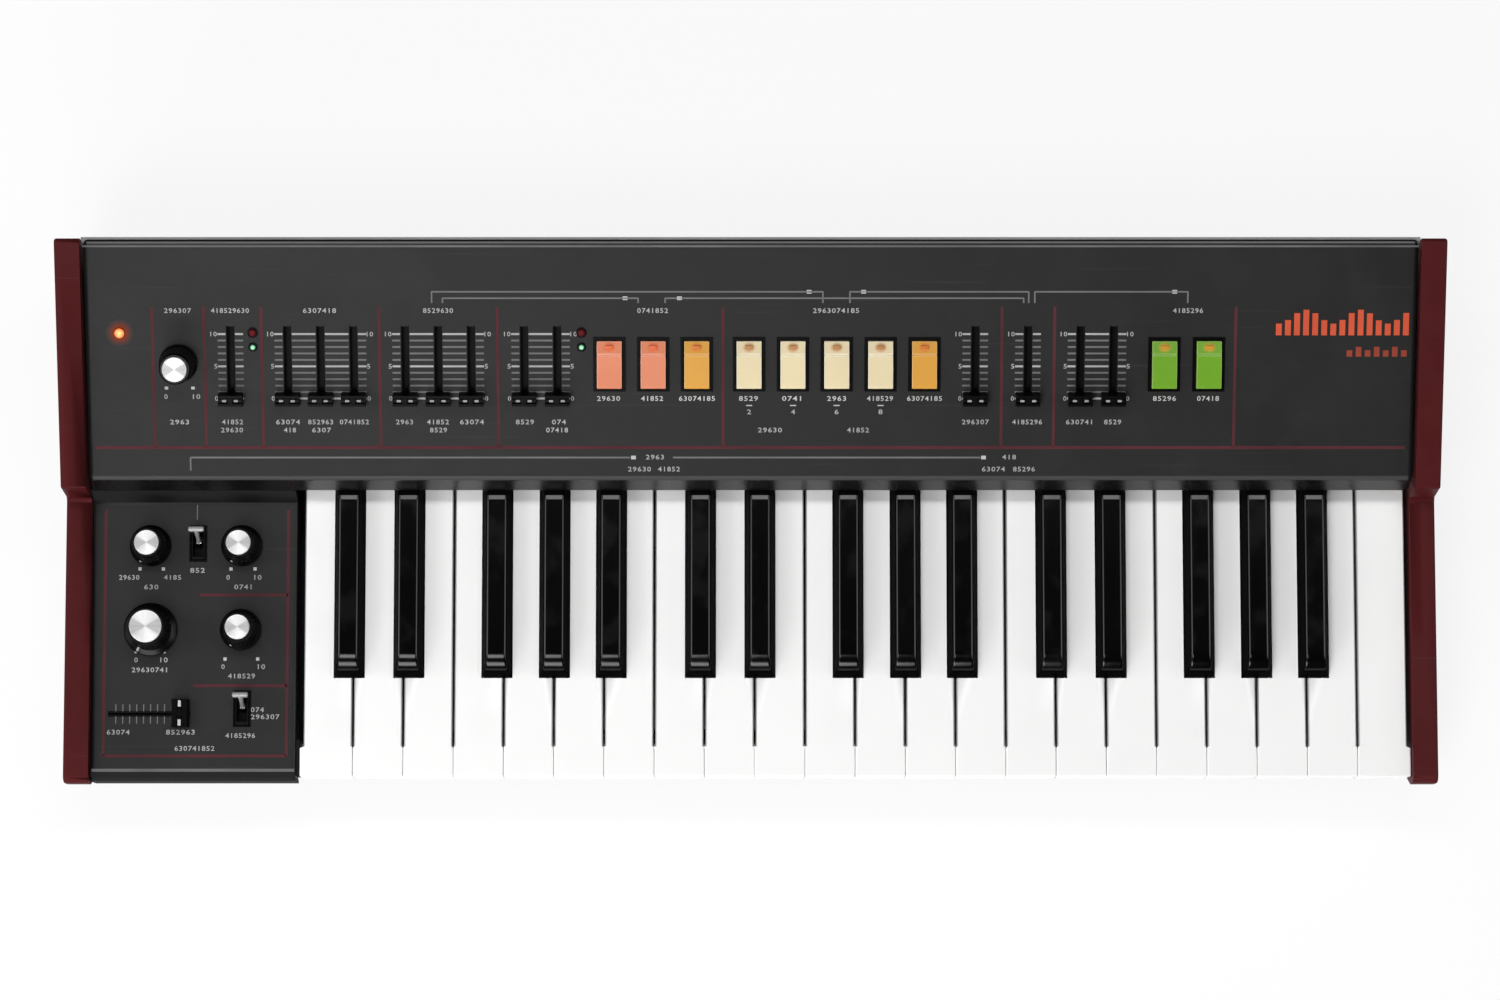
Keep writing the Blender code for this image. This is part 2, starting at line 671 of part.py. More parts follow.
def black_positions():
    """The gap number, counted in white keys from the left, and centre of each black key."""
    found = []
    for gap in range(WHITE_COUNT - 1):
        offset = BLACK_OFFSETS.get(gap % OCTAVE_WHITES)
        if offset is not None:
            middle = KEYS_LEFT + (gap + 1) * WHITE_PITCH - WHITE_GAP / 2
            found.append((gap, middle + offset))
    return found


def make_white_keys():
    """One key is modelled, and each copy is cut away for the black keys beside it."""
    width = WHITE_PITCH - WHITE_GAP
    side = [
        (KEY_FRONT, KEY_LIP_BOTTOM),
        (KEY_FRONT + KEY_LIP_DEPTH, KEY_LIP_BOTTOM),
        (KEY_FRONT + KEY_LIP_DEPTH + 1.5 * MM, KEY_UNDERSIDE),
        (0, KEY_UNDERSIDE),
        (BLACK_CAP_REAR, BLACK_UNDERSIDE),
        (KEY_REAR, BLACK_UNDERSIDE),
        (KEY_REAR, KEY_TOP),
        (KEY_FRONT, KEY_TOP),
    ]
    outline = [(y - PIVOT_Y, z - PIVOT_Z) for y, z in side]
    template = prism("white_key", outline, width)
    top = KEY_TOP - PIVOT_Z
    front = KEY_FRONT - PIVOT_Y

    def on_top_or_front_corner(a, b):
        on_top = abs(a.z - top) < 1e-5 and abs(b.z - top) < 1e-5
        on_rear = a.y > 0 and b.y > 0
        at_front = abs(a.y - front) < 1e-5 and abs(b.y - front) < 1e-5
        upright = at_front and abs(a.x - b.x) < 1e-6
        return (on_top and not on_rear) or upright

    soften(template, on_top_or_front_corner, KEY_EDGE, 2)
    half_notch = BLACK_BASE_WIDTH / 2 + BLACK_CLEARANCE
    over = 5 * MM
    notches = {}
    for gap, x in black_positions():
        low = (x - half_notch, BLACK_FRONT - BLACK_CLEARANCE, KEY_LIP_BOTTOM - over)
        high = (x + half_notch, KEY_REAR + over, KEY_TOP + over)
        space = boxes(f"black_key_space_{gap}", [(low, high)])
        notches[gap] = place(f"black_key_space_{gap}", space, None)
    for index in range(WHITE_COUNT):
        middle = KEYS_LEFT + index * WHITE_PITCH + width / 2
        name = f"white_key_{index + 1:02d}"
        key = place(name, template.copy(), WHITE_PLASTIC, (middle, PIVOT_Y, PIVOT_Z))
        for gap in (index - 1, index):
            if gap in notches:
                boolean(key, notches[gap])


def make_black_keys():
    low = Vector((-BLACK_BASE_WIDTH / 2, BLACK_FRONT - PIVOT_Y, BLACK_UNDERSIDE - PIVOT_Z))
    high = Vector((BLACK_BASE_WIDTH / 2, KEY_REAR - PIVOT_Y, KEY_TOP - PIVOT_Z))
    shoulder = BLACK_SHOULDER - KEY_TOP
    cap_rear = BLACK_CAP_REAR - PIVOT_Y
    cap_rise = BLACK_TOP - BLACK_SHOULDER

    def build(work):
        add_box(work, low, high)
        bmesh.ops.bisect_plane(
            work,
            geom=work.verts[:] + work.edges[:] + work.faces[:],
            plane_co=(0, cap_rear, 0),
            plane_no=(0, 1, 0),
        )
        for rise, narrow, set_back in (
            (shoulder, 0.0, 0.0),
            (cap_rise, (BLACK_BASE_WIDTH - BLACK_CAP_WIDTH) / 2, BLACK_CAP_SET_BACK),
        ):
            top = max(
                (face for face in work.faces if face.calc_center_median().y < cap_rear),
                key=lambda face: face.calc_center_median().z,
            )
            grown = bmesh.ops.extrude_face_region(work, geom=[top])["geom"]
            bmesh.ops.delete(work, geom=[top], context="FACES")
            for vert in (item for item in grown if isinstance(item, bmesh.types.BMVert)):
                vert.co.z += rise
                vert.co.x -= math.copysign(narrow, vert.co.x)
                if vert.co.y < cap_rear - 1 * MM:
                    vert.co.y += set_back
        bmesh.ops.recalc_face_normals(work, faces=work.faces)

    mesh = mesh_from("black_key", build)
    cap_top = BLACK_TOP - PIVOT_Z

    def on_cap(a, b):
        return a.z > cap_top - 1e-5 and b.z > cap_top - 1e-5 and min(a.y, b.y) < cap_rear - 1e-5

    soften(mesh, on_cap, BLACK_ROUNDING, 3)
    for number, (_, x) in enumerate(black_positions(), start=1):
        place(f"black_key_{number:02d}", mesh.copy(), BLACK_PLASTIC, (x, PIVOT_Y, PIVOT_Z))


def make_key_frame():
    """The tray under the keys, with a front stop rail, a contact rail and the pivot rail."""
    base = CASE_BOTTOM + SHEET + GAP
    floor = base + FRAME_FLOOR
    front_top = PAN_FRONT_HEIGHT + 0.5 * MM
    pivot_top = BLACK_UNDERSIDE - 1 * MM
    back_top = KEY_TOP + 1 * MM
    side = [
        (FRONT_RAIL[0], base),
        (FRONT_RAIL[0], front_top),
        (FRONT_RAIL[1], front_top),
        (FRONT_RAIL[1], floor),
        (CONTACT_RAIL[0], floor),
        (CONTACT_RAIL[0], CONTACT_RAIL_TOP),
        (CONTACT_RAIL[1], CONTACT_RAIL_TOP),
        (CONTACT_RAIL[1], floor),
        (PIVOT_RAIL[0], floor),
        (PIVOT_RAIL[0], pivot_top),
        (PIVOT_RAIL[1], pivot_top),
        (PIVOT_RAIL[1], back_top),
        (BACK_STOP_REAR, back_top),
        (BACK_STOP_REAR, base),
    ]
    left = KEYS_LEFT + 1.5 * MM
    right = KEYS_LEFT + WHITE_COUNT * WHITE_PITCH - 4.0 * MM
    mesh = prism("key_frame", side, right - left)
    place("key_frame", mesh, FRAME_GREY, ((left + right) / 2, 0, 0))


# Controls


def turned(name, profile, finish, location, parent=None, steps=24):
    """A round piece from (radius, height) points that run down its outer side."""

    def build(work):
        verts = [work.verts.new((radius, 0, height)) for radius, height in profile]
        for first, second in zip(verts, verts[1:]):
            work.edges.new((first, second))

    mesh = mesh_from(name, build)
    item = place(name, mesh, finish, location, parent)
    lathe = item.modifiers.new("lathe", "SCREW")
    lathe.axis = "Z"
    lathe.angle = math.tau
    lathe.steps = steps
    lathe.render_steps = steps
    lathe.use_merge_vertices = True
    lathe.merge_threshold = 0.001 * MM
    return item


def make_knobs():
    def profile(height, skirt, cap, shaft_bottom):
        grip = cap + 1.5 * MM
        return [
            (0.0, height),
            (cap - 0.4 * MM, height),
            (cap, height - 0.4 * MM),
            (cap, height - 1.2 * MM),
            (grip - 0.6 * MM, height - 1.2 * MM),
            (grip, height - 2.0 * MM),
            (grip + 0.7 * MM, 4.2 * MM),
            (skirt - 0.5 * MM, 2.8 * MM),
            (skirt, 2.2 * MM),
            (skirt, 0.6 * MM),
            (SHAFT_RADIUS, 0.6 * MM),
            (SHAFT_RADIUS, -shaft_bottom),
            (0.0, -shaft_bottom),
        ]

    small = (KNOB_HEIGHT, KNOB_SKIRT, KNOB_CAP)
    large = (LARGE_KNOB_HEIGHT, LARGE_KNOB_SKIRT, LARGE_KNOB_CAP)
    turned("phones_knob", profile(*small, PART_TOP - GAP), KNOB_BLACK, (*PHONES_KNOB, 0), PANEL)
    plate_shaft = PLATE_TOP - PLATE_PART_TOP - GAP
    for name, spot, sizes in (
        ("time_knob", TIME_KNOB, small),
        ("tune_knob", TUNE_KNOB, small),
        ("volume_knob", VOLUME_KNOB, small),
        ("pitch_set_knob", PITCH_KNOB, large),
    ):
        turned(name, profile(*sizes, plate_shaft), KNOB_BLACK, (*spot, PLATE_TOP))


def slider_cap(name, width, length, height):
    """A grooved cap that is drawn from the side, width along X and length along Y."""
    top = length / 2 - 0.7 * MM
    shoulder = CAP_LIFT + 1.2 * MM
    outline = [
        (-length / 2, CAP_LIFT),
        (length / 2, CAP_LIFT),
        (length / 2, shoulder),
        (top, height),
        (1.3 * MM, height),
        (0.7 * MM, height - 0.7 * MM),
        (-0.7 * MM, height - 0.7 * MM),
        (-1.3 * MM, height),
        (-top, height),
        (-length / 2, shoulder),
    ]
    return prism(name, outline, width)


def make_sliders():
    """The panel's caps on one hidden carrier, and the cap of the pitch slider on the plate."""
    columns = slider_columns()
    spots = [(x - columns[0], 0, 0) for x in columns]
    spot = (columns[0], SLIDER_REST, 0)
    cap = slider_cap("slider_caps", CAP_WIDTH, CAP_LENGTH, CAP_HEIGHT)
    caps = place("slider_caps", repeat(cap, spots), BLACK_PLASTIC, spot, PANEL)
    half = STEM_THICKNESS / 2
    reach = STEM_HALF_LENGTH
    stem = boxes("slider_stems", [((-half, -reach, CARRIER_LOW), (half, reach, STEM_TOP))])
    join(caps, "slider_stems", repeat(stem, spots), PANEL, spot)
    arm = boxes("slider_arms", [((-half, CARRIER_DROP, CARRIER_LOW), (half, reach, CARRIER_HIGH))])
    join(caps, "slider_arms", repeat(arm, spots), PANEL, spot)
    low = (-half, CARRIER_DROP - CARRIER_WIDTH, CARRIER_LOW)
    high = (columns[-1] - columns[0] + half, CARRIER_DROP + 0.1 * MM, CARRIER_HIGH)
    join(caps, "slider_carrier", boxes("slider_carrier", [(low, high)]), PANEL, spot)

    length, width, height = PITCH_CAP
    across = slider_cap("pitch_slider_cap", width, length, height)
    across.transform(Matrix.Rotation(math.pi / 2, 4, "Z"))
    spot = (*PITCH_SLIDER, PLATE_TOP)
    pitch = place("pitch_slider_cap", across, BLACK_PLASTIC, spot)
    bottom = PLATE_PART_TOP - PLATE_TOP + GAP
    stem = boxes("pitch_slider_stem", [((-reach, -half, bottom), (reach, half, STEM_TOP))])
    join(pitch, "pitch_slider_stem", stem, None, spot)


def make_buttons():
    """Tab buttons: a rear slope for the lamp, a groove, then a long face to a front lip."""
    half = BUTTON_LENGTH / 2
    under = -SHEET - 0.1 * MM
    groove = half - BUTTON_GROOVE
    outline = [
        (-half, under),
        (half, under),
        (half, BUTTON_REAR_RISE),
        (groove + BUTTON_GROOVE_WIDTH, BUTTON_RISE - 0.5 * MM),
        (groove + BUTTON_GROOVE_WIDTH, BUTTON_RISE - 0.5 * MM - BUTTON_GROOVE_DEPTH),
        (groove, BUTTON_RISE - 0.5 * MM - BUTTON_GROOVE_DEPTH),
        (groove, BUTTON_RISE - 0.4 * MM),
        (-half + 1.8 * MM, BUTTON_RISE),
        (-half + 0.7 * MM, BUTTON_RISE - 0.2 * MM),
        (-half, BUTTON_FRONT_RISE),
    ]
    finishes = {
        "salmon_buttons": (SALMON_PLASTIC, 0.0),
        "orange_buttons": (ORANGE_PLASTIC, 7.5 * MM),
        "cream_buttons": (CREAM_PLASTIC, 0.0),
        "green_buttons": (GREEN_PLASTIC, 0.0),
    }
    for name, columns in BUTTON_COLUMNS.items():
        finish, carrier = finishes[name]
        mesh = prism(name, outline, BUTTON_WIDTH)
        edge = BUTTON_WIDTH / 2

        def on_side_rim(a, b, edge=edge):
            on_side = abs(abs(a.x) - edge) < 1e-6 and abs(a.x - b.x) < 1e-6
            return on_side and min(a.z, b.z) > 1 * MM and abs(a.y - b.y) > 1 * MM

        soften(mesh, on_side_rim, 0.6 * MM)
        spots = [(x - columns[0], 0, 0) for x in columns]
        spot = (columns[0], BUTTON_CENTRE, 0)
        buttons = place(name, repeat(mesh, spots), finish, spot, PANEL)
        near = carrier - CARRIER_WIDTH / 2
        far = carrier + CARRIER_WIDTH / 2
        plunger = boxes(
            f"{name}_plungers", [((-2 * MM, near, CARRIER_LOW), (2 * MM, far, 0.5 * MM))]
        )
        join(buttons, f"{name}_plungers", repeat(plunger, spots), PANEL, spot)
        bar = boxes(
            f"{name}_carrier",
            [((0, near, CARRIER_LOW), (columns[-1] - columns[0], far, CARRIER_HIGH))],
        )
        join(buttons, f"{name}_carrier", bar, PANEL, spot)


def make_toggles():
    """Flat levers that widen from the pivot to the tip."""
    foot = Vector((TOGGLE_FOOT_WIDTH / 2, TOGGLE_FOOT_THICKNESS / 2, 0))
    flare = TOGGLE_TIP_WIDTH / TOGGLE_FOOT_WIDTH

    def build(work):
        low = (-foot.x, -foot.y, -1.2 * MM)
        high = (foot.x, foot.y, TOGGLE_LENGTH)
        for vert in add_box(work, low, high):
            if vert.co.z > 0:
                vert.co.x *= flare
                vert.co.y *= 1.3

    for name, (x, y) in (("glide_toggle", GLIDE_TOGGLE), ("hold_toggle", HOLD_TOGGLE)):
        mesh = mesh_from(name, build)
        soften(mesh, lambda a, b: a.z > 0 and b.z > 0, 0.5 * MM, 2)
        place(name, mesh, SATIN_METAL, (x, y, TOGGLE_PIVOT_Z), None, (-TOGGLE_LEAN, 0, 0))


# Inside and behind


def make_circuit_boards():
    """The panel board and the plate board, each with its parts soldered on."""
    top = -PANEL_BOARD_DEPTH
    half_width = PANEL_BOARD_HALF_WIDTH
    near, far = PANEL_BOARD_SPAN
    board = boxes("circuit_boards", [((-half_width, near, top - BOARD), (half_width, far, top))])
    boards = place("circuit_boards", board, BOARD_GREEN, (0, 0, 0), PANEL)
    sink = top - PART_SINK
    part_top = -PART_TOP - GAP
    part_half, part_near, part_far = SLIDER_PART
    parts = [
        ((x - part_half, part_near, sink), (x + part_half, part_far, part_top))
        for x in slider_columns()
    ]
    switch_top = CARRIER_LOW - SWITCH_DROP
    switch_half = (SWITCH_HALF, SWITCH_HALF, (switch_top - sink) / 2)
    for columns in BUTTON_COLUMNS.values():
        parts += [
            around((x, BUTTON_CENTRE, (switch_top + sink) / 2), switch_half) for x in columns
        ]
    knob_half = (KNOB_PART_HALF, KNOB_PART_HALF, (part_top - sink) / 2)
    parts.append(around((*PHONES_KNOB, (part_top + sink) / 2), knob_half))
    join(boards, "panel_board_parts", boxes("panel_board_parts", parts), PANEL)
    posts = [((x, s, sink), radius, LAMP_RISE - sink, "Z", 12) for x, s, radius in LAMPS]
    posts += [
        ((x, s, sink), POST_RADIUS, -SHEET - GAP - sink, "Z", 12)
        for x in PANEL_POST_XS
        for s in PANEL_POST_ROWS
    ]
    join(boards, "panel_board_posts", rounds("panel_board_posts", posts), PANEL)

    base = PLATE_BOARD_TOP - BOARD
    low = (PLATE_LEFT + PLATE_BOARD_INSET, PLATE_BOARD_SPAN[0], base)
    high = (PLATE_RIGHT - PLATE_BOARD_INSET, PLATE_BOARD_SPAN[1], PLATE_BOARD_TOP)
    join(boards, "plate_board", boxes("plate_board", [(low, high)]))
    link_x = (PLATE_LEFT + PLATE_RIGHT) / 2
    link = [(-2 * MM, base), (6 * MM, base), (34 * MM, 64 * MM), (26 * MM, 66.5 * MM)]
    join(boards, "board_link", prism("board_link", link, LINK_WIDTH), None, (link_x, 0, 0))
    sink = PLATE_BOARD_TOP - PART_SINK
    top = PLATE_PART_TOP - GAP
    knob_half = (PLATE_KNOB_PART_HALF, PLATE_KNOB_PART_HALF, (top - sink) / 2)
    parts = [
        around((*spot, (top + sink) / 2), knob_half)
        for spot in (TIME_KNOB, TUNE_KNOB, PITCH_KNOB, VOLUME_KNOB)
    ]
    slot_y = PITCH_SLIDER[1]
    low = (PITCH_SLOT_LEFT - 1 * MM, slot_y - 4 * MM, sink)
    parts.append((low, (PITCH_SLOT_RIGHT + 3 * MM, slot_y + 4 * MM, top)))
    toggle_half = (
        TOGGLE_WINDOW[0] / 2 - GAP,
        TOGGLE_WINDOW[1] / 2 - GAP,
        (PLATE_TOP - sink) / 2,
    )
    slot_x, slot_y, slot_drop = TOGGLE_SLOT
    slots = []
    for spot in (GLIDE_TOGGLE, HOLD_TOGGLE):
        parts.append(around((*spot, (PLATE_TOP + sink) / 2), toggle_half))
        slot_half = (slot_x, slot_y, PLATE_TOP - TOGGLE_PIVOT_Z + slot_drop)
        slots.append(around((*spot, PLATE_TOP), slot_half))
    join(boards, "plate_board_parts", boxes("plate_board_parts", parts))
    posts = [
        ((*spot, sink), POST_RADIUS, PLATE_TOP - SHEET - GAP - sink, "Z", 12)
        for spot in PLATE_POSTS
    ]
    join(boards, "plate_board_posts", rounds("plate_board_posts", posts))
    cut(boards, "toggle_slots", boxes("toggle_slots", slots))


def make_rear_connectors():
    """The sockets behind the rear wall, soldered to one board."""
    inside = PAN_REAR - SHEET - GAP
    deep = inside - SOCKET_DEPTH
    middle = (inside + deep) / 2

    def body(x, half):
        return around((x, middle, SOCKET_Z), (half[0], SOCKET_DEPTH / 2, half[1]))

    bodies = [body(x, JACK_BODY) for x in JACK_XS]
    bodies += [body(x, ROUND_BODY) for x in ROUND_XS]
    bodies += [body(PORT_X, PORT_BODY), body(POWER_X, POWER_BODY)]
    board_z = SOCKET_Z - 7 * MM
    low = (JACK_XS[0] - 12 * MM, deep - 10 * MM, board_z)
    high = (POWER_X + 12 * MM, inside - 1 * MM, board_z + BOARD)
    socket_board = boxes("rear_connectors", [(low, high)])
    sockets = place("rear_connectors", socket_board, SOCKET_BLACK)
    join(sockets, "socket_bodies", boxes("socket_bodies", bodies))

    start = inside - 2 * MM
    proud = PAN_REAR + 0.6 * MM
    bushes = [((x, start, SOCKET_Z), JACK_BUSH, SOCKET_FACE - start, "Y", 16) for x in JACK_XS]
    bushes += [((x, start, SOCKET_Z), ROUND_FACE, proud - start, "Y", 20) for x in ROUND_XS]
    bushes += [((POWER_X, start, SOCKET_Z), POWER_FACE, proud - start, "Y", 16)]
    join(sockets, "socket_bushes", rounds("socket_bushes", bushes))
    nut_start = PAN_REAR + GAP
    nut_length = SOCKET_FACE - GAP - nut_start
    nuts = [((x, nut_start, SOCKET_Z), JACK_NUT, nut_length, "Y", 6) for x in JACK_XS]
    join(sockets, "jack_nuts", rounds("jack_nuts", nuts))
    bores = [((x, deep + 3 * MM, SOCKET_Z), JACK_BORE, 30 * MM, "Y", 16) for x in JACK_XS]
    bores += [((POWER_X, deep + 8 * MM, SOCKET_Z), POWER_BORE, 20 * MM, "Y", 12)]

    def port_box(name, half, near, far):
        low = (PORT_X - half[0], near, SOCKET_Z - half[1])
        return boxes(name, [(low, (PORT_X + half[0], far, SOCKET_Z + half[1]))])

    join(sockets, "port_shell", port_box("port_shell", PORT_SHELL, start, proud))
    cut(sockets, "socket_bores", rounds("socket_bores", bores))
    recess = PAN_REAR - 8 * MM
    beyond = PAN_REAR + 3 * MM
    cut(sockets, "port_recess", port_box("port_recess", PORT_RECESS, recess, beyond))
    tongue = port_box("port_tongue", PORT_TONGUE, recess - 1 * MM, PAN_REAR - 0.5 * MM)
    join(sockets, "port_tongue", tongue)
    pin = [((POWER_X, deep + 7 * MM, SOCKET_Z), POWER_PIN, 13 * MM, "Y", 12)]
    join(sockets, "power_pin", rounds("power_pin", pin))


def make_feet():
    height = CASE_BOTTOM - GAP
    half = FOOT_WIDTH / 2
    for name, y in (("front_foot", FOOT_FRONT_Y), ("rear_foot", FOOT_REAR_Y)):
        low = (-FOOT_HALF_LENGTH, -half, 0)
        high = (FOOT_HALF_LENGTH, half, height)
        strip = boxes(name, [(low, high)])
        soften(strip, lambda a, b: abs(a.z - b.z) > 1 * MM, FOOT_CORNER, 4)
        place(name, strip, FOOT_RUBBER, (0, y, 0))


make_cheeks()
make_bottom_pan()
make_top_panel()
make_control_plate()
make_white_keys()
make_black_keys()
make_key_frame()
make_knobs()
make_sliders()
make_buttons()
make_toggles()
make_circuit_boards()
make_rear_connectors()
make_feet()
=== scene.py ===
"""The looks of the analog synthesizer: its finishes, printing and detailed controls, and the stage."""

import json
import math

import bpy
from mathutils import Matrix, Vector


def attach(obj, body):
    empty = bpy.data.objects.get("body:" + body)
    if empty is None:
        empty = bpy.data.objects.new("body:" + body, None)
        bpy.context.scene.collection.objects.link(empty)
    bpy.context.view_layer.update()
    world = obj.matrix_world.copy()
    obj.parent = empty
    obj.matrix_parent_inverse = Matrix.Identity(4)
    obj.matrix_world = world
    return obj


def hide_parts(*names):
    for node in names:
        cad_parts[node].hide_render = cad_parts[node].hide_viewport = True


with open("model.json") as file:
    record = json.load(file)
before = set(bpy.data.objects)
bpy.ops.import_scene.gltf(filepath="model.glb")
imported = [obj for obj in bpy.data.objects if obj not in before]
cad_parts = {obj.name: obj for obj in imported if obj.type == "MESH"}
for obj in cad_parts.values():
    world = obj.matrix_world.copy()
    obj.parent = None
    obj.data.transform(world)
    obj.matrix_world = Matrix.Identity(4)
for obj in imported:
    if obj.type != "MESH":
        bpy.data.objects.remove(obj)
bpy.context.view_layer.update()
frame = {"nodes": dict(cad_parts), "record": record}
NODES = frame["nodes"]

# Every piece is modelled in millimetres and is then placed by one of these three matrices:
# the case's own frame, the top of the control plate, and the sloped panel, where Y runs up the slope.
MM = 0.001
CASE = Matrix.Scale(MM, 4)
PLATE = CASE @ Matrix.Translation((0, 0, 50.5))
PANEL_SLOPE = math.radians(17.84)
PANEL = CASE @ Matrix.Translation((0, 15.7, 74.0)) @ Matrix.Rotation(PANEL_SLOPE, 4, "X")
SMOOTH_ANGLE = math.radians(35)


# Stage, camera and light


def set_camera():
    target = Vector((-0.28, 8.3, 50.0)) * MM
    distance = 2300.0 * MM
    from_vertical = 0.109
    lens = bpy.data.cameras.new("photo_camera")
    lens.sensor_width = 36.0
    lens.lens = 117.39
    camera = bpy.data.objects.new("photo_camera", lens)
    away = Vector((0, -from_vertical, math.sqrt(1 - from_vertical**2)))
    camera.location = target + away * distance
    camera.rotation_euler = (math.asin(from_vertical), 0, 0)
    bpy.context.scene.collection.objects.link(camera)
    bpy.context.scene.camera = camera


def area_lamp(name, location, size, power, lights_all=True):
    """A softbox aimed at the object; one that doesn't light all is seen in reflections only."""
    lamp = bpy.data.lights.new(name, "AREA")
    lamp.shape = "RECTANGLE"
    lamp.size, lamp.size_y = size
    lamp.energy = power
    holder = bpy.data.objects.new(name, lamp)
    holder.location = location
    aim = Vector((0, 0, 0.05)) - holder.location
    holder.rotation_euler = aim.to_track_quat("-Z", "Y").to_euler()
    holder.visible_diffuse = lights_all
    bpy.context.scene.collection.objects.link(holder)


def studio_sky():
    """A sky that is dark overhead, so glossy tops stay deep, and even from 45 degrees down."""
    sky = bpy.data.worlds.new("studio_sky")
    sky.use_nodes = True
    nodes = sky.node_tree.nodes
    link = sky.node_tree.links.new
    where = nodes.new("ShaderNodeTexCoord")
    split = nodes.new("ShaderNodeSeparateXYZ")
    fade = nodes.new("ShaderNodeMapRange")
    fade.inputs["From Min"].default_value = 0.95
    fade.inputs["From Max"].default_value = 0.70
    fade.inputs["To Min"].default_value = 0.02
    fade.inputs["To Max"].default_value = 0.37
    link(where.outputs["Generated"], split.inputs["Vector"])
    link(split.outputs["Z"], fade.inputs["Value"])
    link(fade.outputs["Result"], nodes["Background"].inputs["Strength"])
    bpy.context.scene.world = sky


def studio_floor():
    """A pale floor that looks white to the camera and in reflections, and keeps a faint shadow."""
    bpy.ops.object.select_all(action="DESELECT")
    bpy.ops.mesh.primitive_plane_add(size=30.0)
    floor = bpy.context.active_object
    floor.name = "studio_floor"
    material = bpy.data.materials.new("studio_white")
    material.use_nodes = True
    nodes = material.node_tree.nodes
    link = material.node_tree.links.new
    paper = nodes["Principled BSDF"]
    paper.inputs["Base Color"].default_value = (0.92, 0.92, 0.92, 1)
    paper.inputs["Roughness"].default_value = 0.9
    path = nodes.new("ShaderNodeLightPath")
    seen = nodes.new("ShaderNodeMath")
    seen.operation = "MAXIMUM"
    through = nodes.new("ShaderNodeMath")
    through.operation = "MAXIMUM"
    share = nodes.new("ShaderNodeMath")
    share.operation = "MULTIPLY"
    share.inputs[1].default_value = 0.85
    white = nodes.new("ShaderNodeEmission")
    both = nodes.new("ShaderNodeMixShader")
    link(path.outputs["Is Camera Ray"], seen.inputs[0])
    link(path.outputs["Is Glossy Ray"], seen.inputs[1])
    link(seen.outputs["Value"], through.inputs[0])
    link(path.outputs["Is Transmission Ray"], through.inputs[1])
    link(through.outputs["Value"], share.inputs[0])
    link(share.outputs["Value"], both.inputs["Fac"])
    link(paper.outputs["BSDF"], both.inputs[1])
    link(white.outputs["Emission"], both.inputs[2])
    link(both.outputs["Shader"], nodes["Material Output"].inputs["Surface"])
    floor.data.materials.append(material)


def set_stage():
    studio_floor()
    studio_sky()
    bpy.context.scene.view_settings.view_transform = "Standard"
    area_lamp("overhead_front_softbox", (-0.36, -0.80, 1.95), (0.6, 0.6), 12)
    area_lamp("low_front_softbox", (-0.6, -1.75, 0.95), (1.6, 0.6), 31)
    area_lamp("rear_softbox", (0.0, 0.62, 1.85), (1.6, 0.3), 14)
    area_lamp("left_softbox", (-1.6, -0.1, 1.2), (0.6, 1.2), 6)
    area_lamp("right_softbox", (1.6, -0.1, 1.2), (0.6, 1.2), 4)
    area_lamp("left_edge_card", (-1.5, -0.1, 1.25), (1.5, 1.8), 22, False)
    area_lamp("right_edge_card", (1.5, -0.1, 1.25), (1.5, 1.8), 22, False)


# Finishes


def new_group(name, inputs, outputs):
    """An empty node group with its sockets, and its input and output nodes."""
    group = bpy.data.node_groups.new(name, "ShaderNodeTree")
    for kind, sockets in (("INPUT", inputs), ("OUTPUT", outputs)):
        for title, form in sockets:
            group.interface.new_socket(title, in_out=kind, socket_type=f"NodeSocket{form}")
    return group, group.nodes.new("NodeGroupInput"), group.nodes.new("NodeGroupOutput")


def noise(nodes, link, place, scale, detail=3.0):
    texture = nodes.new("ShaderNodeTexNoise")
    texture.inputs["Scale"].default_value = scale
    texture.inputs["Detail"].default_value = detail
    link(place, texture.inputs["Vector"])
    return texture.outputs["Fac"]


def spread(nodes, link, value, low, high, start=0.0, end=1.0):
    """The value from low to high, drawn out to the span from start to end."""
    remap = nodes.new("ShaderNodeMapRange")
    remap.interpolation_type = "SMOOTHSTEP"
    remap.inputs["From Min"].default_value = low
    remap.inputs["From Max"].default_value = high
    remap.inputs["To Min"].default_value = start
    remap.inputs["To Max"].default_value = end
    link(value, remap.inputs["Value"])
    return remap.outputs["Result"]


def reckon(nodes, link, operation, *values):
    """A Math node on linked values and plain numbers."""
    step = nodes.new("ShaderNodeMath")
    step.operation = operation
    for i, value in enumerate(values):
        if isinstance(value, (int, float)):
            step.inputs[i].default_value = value
        else:
            link(value, step.inputs[i])
    return step.outputs["Value"]


def blend(nodes, link, share, first, second):
    """A colour between two, each linked or plain."""
    mix = nodes.new("ShaderNodeMix")
    mix.data_type = "RGBA"
    link(share, mix.inputs["Factor"])
    for colour, slot in ((first, mix.inputs[6]), (second, mix.inputs[7])):
        if isinstance(colour, tuple):
            slot.default_value = (*colour, 1)
        else:
            link(colour, slot)
    return mix.outputs[2]


